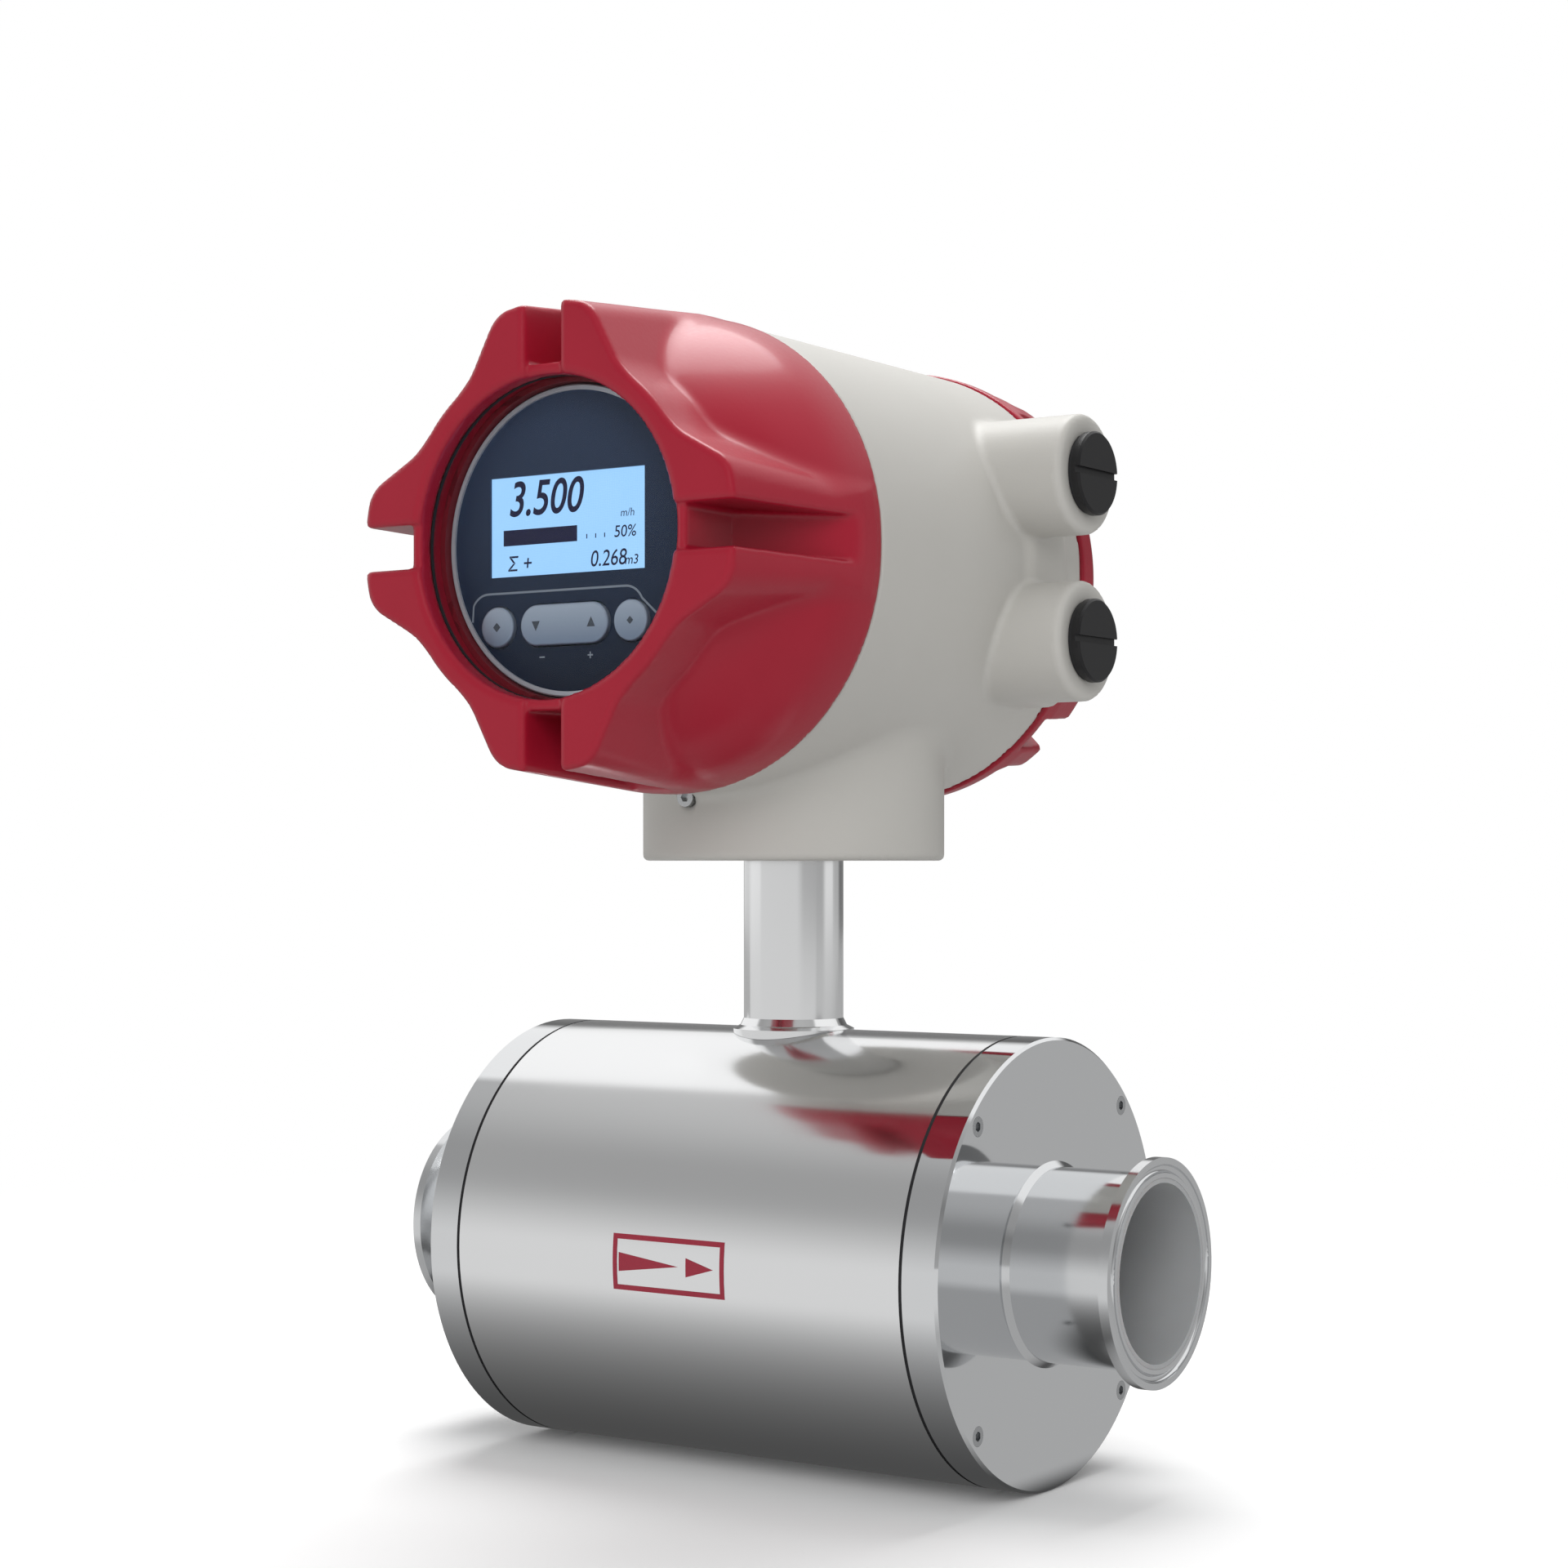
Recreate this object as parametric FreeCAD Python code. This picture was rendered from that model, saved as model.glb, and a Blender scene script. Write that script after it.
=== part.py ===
"""Electromagnetic flow meter: sanitary clamp sensor with a two-compartment transmitter.

Millimetres.  The origin is the centre of the flow bore, +X is the flow direction,
the display looks along -Y and +Z is up.  Each sub-part is written to parts/NAME.step.
"""
import FreeCAD
import Part
import math
import os
from collections import namedtuple

V = FreeCAD.Vector
X_AXIS = V(1, 0, 0)
Y_AXIS = V(0, 1, 0)
Z_AXIS = V(0, 0, 1)

# ---- clearances -----------------------------------------------------------
FIT = 0.05             # close sliding fit, on the radius
SLACK = 0.3            # gap beside a part that moves freely

# ---- flow tube and clamp ferrules -----------------------------------------
HALF_LENGTH = 121.9    # centre to ferrule face
BORE_R = 25.0
LINER_WALL = 1.3
PIPE_WALL = 1.2
FERRULE_R = 32.0
FERRULE_RIM = 2.85     # thickness of the ferrule at its edge
FERRULE_SLOPE = 20.0   # degrees, back face of the ferrule
GROOVE_R = 28.9        # centre of the seal groove in the ferrule face
GROOVE_SECTION_R = 1.2
FERRULE_REACH = 34.0   # end plate's outer face to ferrule face
WELD_LEG = 1.6         # fillet weld of ferrule to end plate

# ---- sensor drum ------------------------------------------------------------
SHELL_R = 64.0
SHELL_WALL = 2.0
SHELL_LAND = 11.0      # length of the tapped land at each end
LAND_EDGE = 4.3        # screw centre to the land's inside
PLATE_T = 10.8
PLATE_CHAMFER = 0.8
GASKET_T = 1.0
GASKET_INSET = 0.5     # gasket edge lies this far under the shell's skin
SPIGOT = 4.0           # plate spigot inside the shell land
PLATE_SCREW_EDGE = 4.7 # screw centre to the drum's skin
PLATE_SCREWS = 4
PLATE_SCREW_LENGTH = 14.0

# ---- screws -----------------------------------------------------------------
M3_R = 1.5
M3_HEAD_R = 2.75
M3_HEAD = 3.0
M3_SOCKET = 2.5        # across flats
M3_SOCKET_DEPTH = 1.4

# ---- field coils --------------------------------------------------------------
YOKE_R = 50.0          # inside radius of the return band
YOKE_T = 2.5
YOKE_WIDTH = 48.0
SADDLE_T = 2.5
SADDLE_LENGTH = 52.0
SADDLE_ANGLE = 100.0   # degrees of tube covered by a pole shoe
CORE_R = 11.0
COIL_R = 21.0
COIL_HEIGHT = 8.0
BOBBIN_WALL = 1.0
BOBBIN_TOP = 43.0      # centre of tube to the bobbin's outer flange

# ---- electrodes --------------------------------------------------------------
TIP_R = 3.0
TIP_LENGTH = 3.4
STEM_R = 1.8
STEM_END = 46.5        # centre of bore to the end of the stem
BOSS_R = 9.0
BOSS_BORE_R = 6.0
BOSS_TOP = 37.0
INSULATOR_FLANGE = 1.5
SPRING_R = 5.2
SPRING_T = 2.0
NUT_AF = 7.0
NUT_H = 3.2

# ---- neck ---------------------------------------------------------------------
NECK_R = 14.9
NECK_WALL = 2.0
NECK_WELD = 3.2        # fillet between neck and drum
NECK_ENTRY = 20.0      # length of neck inside the housing
LOCKNUT_AF = 40.0
LOCKNUT_H = 7.0
NECK_SEAL = 2.4        # section of the neck seal

# ---- transmitter housing -------------------------------------------------------
AXIS_Z = 200.0         # height of the transmitter axis
HOUSING_R = 66.6
HOUSING_HALF = 57.0    # half length between the two cover joints
HOUSING_BORE_R = 61.0
BASE_R = 45.0
BASE_Z = 114.0
BASE_FLOOR = 10.0
BASE_WALL = 7.0
BASE_EDGE = 1.0        # rounded lower edge
BULKHEAD_Y = 4.0
BULKHEAD_T = 4.0
WIRE_HOLE_R = 7.0
WIRE_HOLE_DROP = 35.0  # below the axis

# ---- cable entries ---------------------------------------------------------------
ENTRY_SET = 29.0       # rear joint face to the entries' centre line
ENTRY_UP = 26.6        # above the axis
ENTRY_DOWN = 22.0      # below the axis
ENTRY_R = 17.6
ENTRY_FACE = 84.0
ENTRY_BORE_R = 10.0
ENTRY_EDGE = 0.8
PAD_PROUD = 0.8        # the pad's flat lies this far beyond the case
PAD_SLOPE = 4.0        # the pad's front edge lies this far before the centre line
PAD_MARGIN = 0.6       # pad edge beyond the entry bosses
PAD_ROOT = 28.0        # pad and bosses start inside the case wall here
PLUG_HEAD_R = 12.2
PLUG_HEAD = 2.6
PLUG_THREAD = 13.0
PLUG_SLOT = 2.0
PLUG_SLOT_DEPTH = 1.3
PLUG_CROWN = 0.6
WASHER_T = 1.2
WASHER_R = 11.6

# ---- screwed covers ----------------------------------------------------------------
COVER_L = 63.9         # front cover, joint face to outermost face
RIM_GAP = 0.2
RIM_PROUD = 0.7        # cover rim stands this far beyond the case
RIM_BAND = 9.0
CROWN_R = 49.5         # ring round the window
FLARE_END = 43.8       # height at which the flare meets the crown
FLARE_BULGE = 2.4
LUG_INSET = 4.8        # rim to the lugs at the outer face
LUG_HALF = 16.2
LUG_ROOT_HALF = 26.0
LUG_ROOT_R = 42.3
LUGS = 4
LUG_EDGE = 1.6
SLOT_W = 12.0
SLOT_FLOOR_R = 46.1
SLOT_LEVEL = 41.3      # height at which the slot floor starts to ramp out
SLOT_END = 11.8
CHANNEL_DEPTH = 1.5
WINDOW_R = 43.2
WINDOW_DEPTH = 6.2
WINDOW_CHAMFER = 0.9
WINDOW_SEAT_R = 44.25
SKIRT = 12.0           # threaded skirt inside the housing
SKIRT_WALL = 4.0
CAVITY_STRAIGHT = 13.0
CAVITY_NECK_R = 45.4
CAVITY_NECK = 40.0
ORING_R = 1.15
ORING_SET = 1.9        # joint face to O-ring centre

# ---- rear cover: a shallow cap on the same thread ------------------------------------
REAR_L = 21.0
REAR_BAND = 7.5
REAR_CROWN_INSET = 10.3 # rim to the crown
REAR_FLARE_END = 17.5
REAR_BULGE = 0.8
REAR_LUG_INSET = 1.3
REAR_SLOT_FLOOR_R = 51.0
REAR_SLOT_LEVEL = 12.5
REAR_SLOT_END = 5.0
REAR_STRAIGHT = 2.0
REAR_NECK_R = 46.5
REAR_NECK = 12.0
REAR_ROOM_R = 45.5
REAR_WALL = 7.0
REAR_RECESS = 2.0
REAR_RECESS_R = 43.2
REAR_SPIN = 45.0       # the rear cover stops an eighth of a turn round

# ---- window ---------------------------------------------------------------------------
WINDOW_SEAL = 0.8
GLASS_T = 4.0
RETAINER_L = 6.0
RETAINER_WALL = 1.7

# ---- display ----------------------------------------------------------------------------
PANEL_FACE = 50.5      # joint face to the front of the display panel
PANEL_R = 40.9
PANEL_T = 2.0
BEZEL_R = 42.0
BEZEL_LIP = 0.7
BEZEL_LIP_R = 40.5
BEZEL_L = 5.4
CARRIER_R = 41.4
CARRIER_WALL = 1.2
CARRIER_L = 28.0
CARRIER_FLOOR = 3.0
LCD_X = -2.0
LCD_Z = 5.0
LCD_W = 52.6
LCD_H = 27.2
LCD_FRAME = 4.0
LCD_T = 8.0
LCD_SET = 0.6          # screen lies this far behind the panel face
BOARD_T = 1.6
DISPLAY_BOARD_R = 38.8
KEY_Z = -22.3
KEY_X = (-25.0, 20.4)
KEY_R = 5.6
KEY_PROUD = 1.3
KEY_TRAVEL = 0.6
KEY_FLANGE = 0.6
KEY_FLANGE_T = 1.0
KEY_STEM_R = 1.8
ROCKER_X = -2.0
ROCKER_HALF = 14.9
ROCKER_SWITCH = 9.0
ROCKER_PIN_R = 0.8
ROCKER_PIN_SET = 3.2   # panel back to pivot centre
SWITCH_W = 6.0
SWITCH_H = 2.6
PLUNGER_R = 1.6
PLUNGER_H = 0.6

# ---- boards ----------------------------------------------------------------------------
POST_R = 2.5
POST_PITCH_R = 33.0
SPACER_PITCH_R = 46.0
MAIN_BOARD_R = 52.0
POWER_BOARD_SET = 11.0 # bulkhead to power board
MAIN_BOARD_SET = 26.0  # power board to main board
TRANSFORMER = (34.0, 19.0, 28.0)
TERMINAL_SET = 9.0
TERMINAL_BOARD_R = 50.0
TERMINAL_BLOCK = (54.0, 15.0, 12.0)
TERMINAL_UP = 14.0
TERMINAL_WAYS = 6
TERMINAL_SCREW_R = 2.2
LOCK_SCREW_X = -7.0
LOCK_SCREW_DROP = 3.2  # below the cover rim
LOCK_SCREW_LENGTH = 9.0

# ---- places that follow from the sizes above ----------------------------------------------
LINER_R = BORE_R + LINER_WALL
TUBE_BORE_R = LINER_R + FIT
TUBE_R = TUBE_BORE_R + PIPE_WALL
PLATE_FACE = HALF_LENGTH - FERRULE_REACH
PLATE_SCREW_R = SHELL_R - PLATE_SCREW_EDGE
SHELL_LAND_R = PLATE_SCREW_R - LAND_EDGE
PLATE_BACK = PLATE_FACE - PLATE_T
SHELL_END = PLATE_BACK - GASKET_T
PANEL_BACK = PANEL_FACE - PANEL_T
GLASS_SEAT = COVER_L - WINDOW_DEPTH
PLUG_R = ENTRY_BORE_R - FIT
RIM_R = HOUSING_R + RIM_PROUD
LUG_R = RIM_R - LUG_INSET
REAR_LUG_R = RIM_R - REAR_LUG_INSET
REAR_CROWN_R = RIM_R - REAR_CROWN_INSET
ENTRY_Y = HOUSING_HALF - ENTRY_SET
PAD_FRONT = ENTRY_Y - PAD_SLOPE
PAD_FACE = HOUSING_R + PAD_PROUD
ENTRY_HEIGHTS = (AXIS_Z + ENTRY_UP, AXIS_Z - ENTRY_DOWN)


def cylinder(radius, start, end, axis=Z_AXIS, centre=V(0, 0, 0)):
    """Solid cylinder about an axis, between two distances measured along it."""
    return Part.makeCylinder(radius, end - start, centre + axis * start, axis)


def ring(inner, outer, start, end, axis=Z_AXIS, centre=V(0, 0, 0)):
    """Plain ring about an axis."""
    tube = cylinder(outer, start, end, axis, centre)
    return tube.cut(cylinder(inner, start - 1, end + 1, axis, centre))


def block(x_span, y_span, z_span):
    """Box between pairs of limits."""
    corner = V(x_span[0], y_span[0], z_span[0])
    return Part.makeBox(x_span[1] - x_span[0], y_span[1] - y_span[0], z_span[1] - z_span[0], corner)


def turned(points, axis=Z_AXIS):
    """Solid of revolution about Z from (radius, height) points, then laid along an axis."""
    wire = Part.makePolygon([V(r, 0, h) for r, h in points] + [V(points[0][0], 0, points[0][1])])
    solid = Part.Face(wire).revolve(V(0, 0, 0), Z_AXIS, 360)
    return laid_along(solid, axis)


def laid_along(shape, axis):
    """Turn a shape made about +Z so that its axis points another way."""
    turn = FreeCAD.Placement(V(0, 0, 0), FreeCAD.Rotation(Z_AXIS, axis))
    result = shape.copy()
    result.Placement = turn.multiply(shape.Placement)
    return result


def spun(shape, count, axis=Z_AXIS, centre=V(0, 0, 0), start=0.0):
    """Copies of a shape, evenly spaced about an axis."""
    copies = []
    for step in range(count):
        copy = shape.copy()
        copy.rotate(centre, axis, start + 360.0 * step / count)
        copies.append(copy)
    return copies


def mirrored(shape, normal):
    """Mirror image in a plane through the origin."""
    return shape.mirror(V(0, 0, 0), normal)


def polar(radius, degrees):
    """Point on a circle, as a pair."""
    angle = math.radians(degrees)
    return radius * math.cos(angle), radius * math.sin(angle)


def hexagon(across_flats, start, end):
    """Hexagonal prism about Z."""
    radius = across_flats / math.sqrt(3)
    corners = [V(*polar(radius, 60 * k), start) for k in range(7)]
    return Part.Face(Part.makePolygon(corners)).extrude(V(0, 0, end - start))


def cap_screw(length, radius=M3_R, head_r=M3_HEAD_R, head=M3_HEAD):
    """Socket cap screw along -Z, the underside of its head at z = 0."""
    body = cylinder(radius, -length, 0).fuse(cylinder(head_r, 0, head))
    return body.cut(hexagon(M3_SOCKET, head - M3_SOCKET_DEPTH, head + 1)).removeSplitter()


# ---------------------------------------------------------------------------------------
# Flow tube
# ---------------------------------------------------------------------------------------
def radial_pair(shape):
    """A piece made along +Z, placed at the front (-Y) and the rear (+Y) of the tube."""
    return [laid_along(shape, V(0, -1, 0)), laid_along(shape, Y_AXIS)]


def tube_liner():
    liner = ring(BORE_R, LINER_R, -HALF_LENGTH, HALF_LENGTH, X_AXIS)
    return liner.cut(cylinder(TIP_R + FIT, -BOSS_TOP, BOSS_TOP, Y_AXIS))


def measuring_tube():
    tube = ring(TUBE_BORE_R, TUBE_R, -PLATE_FACE, PLATE_FACE, X_AXIS)
    return tube.cut(cylinder(BOSS_BORE_R - FIT, -BOSS_TOP, BOSS_TOP, Y_AXIS))


def ferrule():
    """Clamp ferrule with its stub, for the +X end."""
    slope = (FERRULE_R - TUBE_R) * math.tan(math.radians(FERRULE_SLOPE))
    face = HALF_LENGTH
    body = turned([
        (TUBE_BORE_R, PLATE_FACE), (TUBE_R + WELD_LEG, PLATE_FACE), (TUBE_R, PLATE_FACE + WELD_LEG),
        (TUBE_R, face - FERRULE_RIM - slope), (FERRULE_R, face - FERRULE_RIM),
        (FERRULE_R, face), (TUBE_BORE_R, face)], X_AXIS)
    groove = Part.makeTorus(GROOVE_R, GROOVE_SECTION_R, V(face, 0, 0), X_AXIS)
    return body.cut(groove)


# ---------------------------------------------------------------------------------------
# Sensor drum
# ---------------------------------------------------------------------------------------
def plate_screw_places():
    """(y, z) of the screws in one end plate."""
    return [polar(PLATE_SCREW_R, 45 + 360 * k / PLATE_SCREWS) for k in range(PLATE_SCREWS)]


def end_plate():
    """Thick end plate for the +X end, with spigot, tube bore and screw counterbores."""
    c = PLATE_CHAMFER
    plate = turned([
        (TUBE_R + FIT, PLATE_BACK - SPIGOT), (SHELL_LAND_R - FIT, PLATE_BACK - SPIGOT),
        (SHELL_LAND_R - FIT, PLATE_BACK), (SHELL_R, PLATE_BACK), (SHELL_R, PLATE_FACE - c),
        (SHELL_R - c, PLATE_FACE), (TUBE_R + FIT, PLATE_FACE)], X_AXIS)
    for y, z in plate_screw_places():
        centre = V(0, y, z)
        plate = plate.cut(cylinder(M3_R + FIT, PLATE_BACK - 1, PLATE_FACE, X_AXIS, centre))
        sink = PLATE_FACE - M3_HEAD
        plate = plate.cut(cylinder(M3_HEAD_R + FIT, sink, PLATE_FACE + 1, X_AXIS, centre))
    return plate


def plate_gasket():
    gasket = ring(SHELL_LAND_R, SHELL_R - GASKET_INSET, SHELL_END, PLATE_BACK, X_AXIS)
    for y, z in plate_screw_places():
        hole = cylinder(M3_R + FIT, SHELL_END - 1, PLATE_BACK + 1, X_AXIS, V(0, y, z))
        gasket = gasket.cut(hole)
    return gasket


def plate_screws():
    """The cap screws of both end plates."""
    screw = laid_along(cap_screw(PLATE_SCREW_LENGTH), X_AXIS)
    solids = []
    for y, z in plate_screw_places():
        right = screw.translated(V(PLATE_FACE - M3_HEAD, y, z))
        solids += [right, mirrored(right, X_AXIS)]
    return solids


def sensor_shell():
    """Drum with a tapped land at each end and the hole under the neck."""
    land = SHELL_END - SHELL_LAND
    inner = SHELL_R - SHELL_WALL
    slope = land - (inner - SHELL_LAND_R)
    half = [(SHELL_LAND_R, SHELL_END), (SHELL_LAND_R, land), (inner, slope)]
    shell = turned([(SHELL_R, -SHELL_END), (SHELL_R, SHELL_END)] + half
                   + [(r, -h) for r, h in reversed(half)], X_AXIS)
    for y, z in plate_screw_places():
        for side in (-1, 1):
            depth = SHELL_END - (PLATE_SCREW_LENGTH - PLATE_T + M3_HEAD) - GASKET_T
            hole = cylinder(M3_R + FIT, depth, SHELL_END + 1, X_AXIS * side, V(0, y, z))
            shell = shell.cut(hole)
    return shell.cut(cylinder(NECK_R - NECK_WALL, 0, SHELL_R + 1))


# ---------------------------------------------------------------------------------------
# Field coils and magnetic circuit (made for the top, mirrored for the bottom)
# ---------------------------------------------------------------------------------------
def pole_piece():
    """Saddle shoe on the tube with its round core up to the yoke."""
    inner = TUBE_R + FIT
    shoe = ring(inner, inner + SADDLE_T, -SADDLE_LENGTH / 2, SADDLE_LENGTH / 2, X_AXIS)
    reach = inner + SADDLE_T
    floor = inner * math.cos(math.radians(SADDLE_ANGLE / 2))
    half = SADDLE_LENGTH / 2
    shoe = shoe.common(block((-half, half), (-reach, reach), (floor, reach + 1)))
    core = cylinder(CORE_R, inner, YOKE_R - FIT).cut(cylinder(inner, -half, half, X_AXIS))
    crown = cylinder(YOKE_R - FIT, -half, half, X_AXIS)
    core = core.common(crown)
    tapped = cylinder(M3_R + FIT, YOKE_R - PLATE_SCREW_LENGTH, YOKE_R + 1)
    return core.fuse(shoe).cut(tapped).removeSplitter()


def bobbin_floor():
    """Height of the bobbin's lower flange."""
    return BOBBIN_TOP - 2 * BOBBIN_WALL - COIL_HEIGHT


def coil_bobbin():
    low = bobbin_floor()
    flange = COIL_R + BOBBIN_WALL
    hub = CORE_R + FIT + BOBBIN_WALL
    inner = CORE_R + FIT
    return turned([
        (inner, low), (flange, low), (flange, low + BOBBIN_WALL), (hub, low + BOBBIN_WALL),
        (hub, BOBBIN_TOP - BOBBIN_WALL), (flange, BOBBIN_TOP - BOBBIN_WALL),
        (flange, BOBBIN_TOP), (inner, BOBBIN_TOP)])


def field_coil():
    low = bobbin_floor() + BOBBIN_WALL
    return ring(CORE_R + 2 * FIT + BOBBIN_WALL, COIL_R, low + FIT, low + COIL_HEIGHT - FIT)


def yoke_band():
    band = ring(YOKE_R, YOKE_R + YOKE_T, -YOKE_WIDTH / 2, YOKE_WIDTH / 2, X_AXIS)
    reach = YOKE_R + YOKE_T
    band = band.cut(cylinder(M3_R + FIT, -reach, reach))
    for side in (-1, 1):
        flat = YOKE_R + YOKE_T / 2
        band = band.cut(cylinder(M3_HEAD_R + FIT, flat, reach + 1, Z_AXIS * side))
    return band


def yoke_screws():
    screw = cap_screw(PLATE_SCREW_LENGTH - M3_HEAD).translated(V(0, 0, YOKE_R + YOKE_T / 2))
    return [screw, mirrored(screw, Z_AXIS)]


# ---------------------------------------------------------------------------------------
# Electrodes (made along +Z, then laid to the front and the rear)
# ---------------------------------------------------------------------------------------
def electrode():
    """Measuring electrode with its face flush with the liner bore."""
    step = BORE_R + TIP_LENGTH
    return cylinder(TIP_R, BORE_R, step).fuse(cylinder(STEM_R, step, STEM_END)).removeSplitter()


def electrode_boss():
    """Socket welded on the measuring tube."""
    boss = ring(BOSS_BORE_R, BOSS_R, 0, BOSS_TOP)
    return boss.cut(cylinder(TUBE_R, -HALF_LENGTH, HALF_LENGTH, X_AXIS))


def electrode_insulator():
    step = BORE_R + TIP_LENGTH
    outer = BOSS_BORE_R - 2 * FIT
    sleeve = turned([
        (TIP_R + FIT, 0), (outer, 0), (outer, BOSS_TOP + FIT), (BOSS_R, BOSS_TOP + FIT),
        (BOSS_R, BOSS_TOP + FIT + INSULATOR_FLANGE), (STEM_R + FIT, BOSS_TOP + FIT + INSULATOR_FLANGE),
        (STEM_R + FIT, step + FIT), (TIP_R + FIT, step + FIT)])
    return sleeve.cut(cylinder(LINER_R + FIT / 2, -HALF_LENGTH, HALF_LENGTH, X_AXIS))


def insulator_top():
    return BOSS_TOP + FIT + INSULATOR_FLANGE


def electrode_spring():
    """Disc spring pack under the nut."""
    low = insulator_top() + FIT
    rise = SPRING_T / 3
    return turned([
        (STEM_R + FIT, low + rise), (SPRING_R, low), (SPRING_R, low + SPRING_T - rise),
        (STEM_R + FIT, low + SPRING_T)])


def electrode_nut():
    low = insulator_top() + SPRING_T + 2 * FIT
    return hexagon(NUT_AF, low, low + NUT_H).cut(cylinder(STEM_R + FIT, low - 1, low + NUT_H + 1))


# ---------------------------------------------------------------------------------------
# Neck
# ---------------------------------------------------------------------------------------
def neck_tube():
    """Neck welded on the drum and screwed into the housing."""
    inner = NECK_R - NECK_WALL
    top = BASE_Z + NECK_ENTRY
    seat = math.sqrt(SHELL_R ** 2 - NECK_R ** 2)
    low = seat - NECK_WELD
    flare = turned([
        (inner, low), (NECK_R + NECK_WELD, low), (NECK_R + NECK_WELD, SHELL_R),
        (NECK_R + NECK_WELD / 3, SHELL_R + NECK_WELD / 3), (NECK_R, SHELL_R + NECK_WELD),
        (NECK_R, top), (inner, top)])
    return flare.cut(cylinder(SHELL_R + FIT / 2, -PLATE_FACE, PLATE_FACE, X_AXIS))


def neck_seal():
    """Square seal ring in the housing floor."""
    mid = BASE_Z + BASE_FLOOR / 2
    return ring(NECK_R + FIT, NECK_R + NECK_SEAL, mid - NECK_SEAL / 2, mid + NECK_SEAL / 2)


def neck_locknut():
    low = BASE_Z + BASE_FLOOR
    return hexagon(LOCKNUT_AF, low, low + LOCKNUT_H).cut(cylinder(NECK_R + FIT, low - 1, low + LOCKNUT_H + 1))


# ---------------------------------------------------------------------------------------
# Transmitter housing
# ---------------------------------------------------------------------------------------
def on_axis():
    return V(0, 0, AXIS_Z)


def entry_pad():
    """Raised flat pad that carries both cable entries."""
    reach = ENTRY_R + PAD_MARGIN
    high = ENTRY_HEIGHTS[0] + reach
    low = ENTRY_HEIGHTS[1] - reach
    back = ENTRY_Y + reach
    corners = [(back, high), (ENTRY_Y, high), (PAD_FRONT, high - ENTRY_R), (PAD_FRONT, low + ENTRY_R),
               (ENTRY_Y, low), (back, low), (back, high)]
    face = Part.Face(Part.makePolygon([V(PAD_ROOT, y, z) for y, z in corners]))
    return face.extrude(V(PAD_FACE - PAD_ROOT, 0, 0))


def entry_boss(height):
    boss = cylinder(ENTRY_R, HOUSING_BORE_R / 2, ENTRY_FACE, X_AXIS, V(0, ENTRY_Y, height))
    rims = [e for e in boss.Edges if abs(e.CenterOfMass.x - ENTRY_FACE) < 0.01]
    return boss.makeFillet(ENTRY_EDGE, rims)


def base_boss():
    boss = cylinder(BASE_R, BASE_Z, AXIS_Z)
    rims = [e for e in boss.Edges if abs(e.CenterOfMass.z - BASE_Z) < 0.01]
    return boss.makeFillet(BASE_EDGE, rims)


def lock_screw_height():
    return AXIS_Z - RIM_R - LOCK_SCREW_DROP + M3_HEAD_R


def lock_screw_seat():
    """Distance from the transmitter's middle to the face the lock screws bear on."""
    return math.sqrt(BASE_R ** 2 - LOCK_SCREW_X ** 2)


def lock_screw_holes():
    reach = lock_screw_seat()
    centre = V(LOCK_SCREW_X, 0, lock_screw_height())
    holes = []
    for side in (-1, 1):
        bottom = reach - LOCK_SCREW_LENGTH
        holes.append(cylinder(M3_R + FIT, bottom, reach + 5, Y_AXIS * side, centre))
        holes.append(cylinder(M3_HEAD_R + FIT, reach - M3_HEAD / 2, reach + 5, Y_AXIS * side, centre))
    return holes


def transmitter_housing():
    """Cast body: round case, base boss, entry pad and bosses, and the inner bulkhead."""
    middle = on_axis()
    body = cylinder(HOUSING_R, -HOUSING_HALF, HOUSING_HALF, Y_AXIS, middle)
    body = body.fuse([base_boss(), entry_pad()] + [entry_boss(z) for z in ENTRY_HEIGHTS])
    body = body.removeSplitter()
    room_r = BASE_R - BASE_WALL
    ends = HOUSING_HALF + 1
    body = body.cut([
        cylinder(HOUSING_BORE_R, -ends, ends, Y_AXIS, middle),
        cylinder(room_r, BASE_Z + BASE_FLOOR, AXIS_Z),
        cylinder(NECK_R + FIT, BASE_Z - 1, BASE_Z + BASE_FLOOR + 1),
    ])
    mid = BASE_Z + BASE_FLOOR / 2
    groove = (NECK_SEAL + FIT) / 2
    body = body.cut(cylinder(NECK_R + NECK_SEAL + FIT, mid - groove, mid + groove))
    bulkhead = cylinder(HOUSING_BORE_R + 1, BULKHEAD_Y, BULKHEAD_Y + BULKHEAD_T, Y_AXIS, middle)
    body = body.fuse(bulkhead)
    wires = V(0, 0, AXIS_Z - WIRE_HOLE_DROP)
    body = body.cut(cylinder(WIRE_HOLE_R, BULKHEAD_Y - 1, BULKHEAD_Y + BULKHEAD_T + 1, Y_AXIS, wires))
    for height in ENTRY_HEIGHTS:
        bore = cylinder(ENTRY_BORE_R, HOUSING_BORE_R / 2, ENTRY_FACE + 1, X_AXIS, V(0, ENTRY_Y, height))
        body = body.cut(bore)
    return body.cut(lock_screw_holes()).removeSplitter()


def cover_lock_screws():
    """Screw below each cover rim that stops the cover from working loose."""
    screws = []
    for side in (-1, 1):
        screw = laid_along(cap_screw(LOCK_SCREW_LENGTH - M3_HEAD / 2 - FIT), Y_AXIS * side)
        seat = (lock_screw_seat() - M3_HEAD / 2) * side
        screws.append(screw.translated(V(LOCK_SCREW_X, seat, lock_screw_height())))
    return screws


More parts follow.
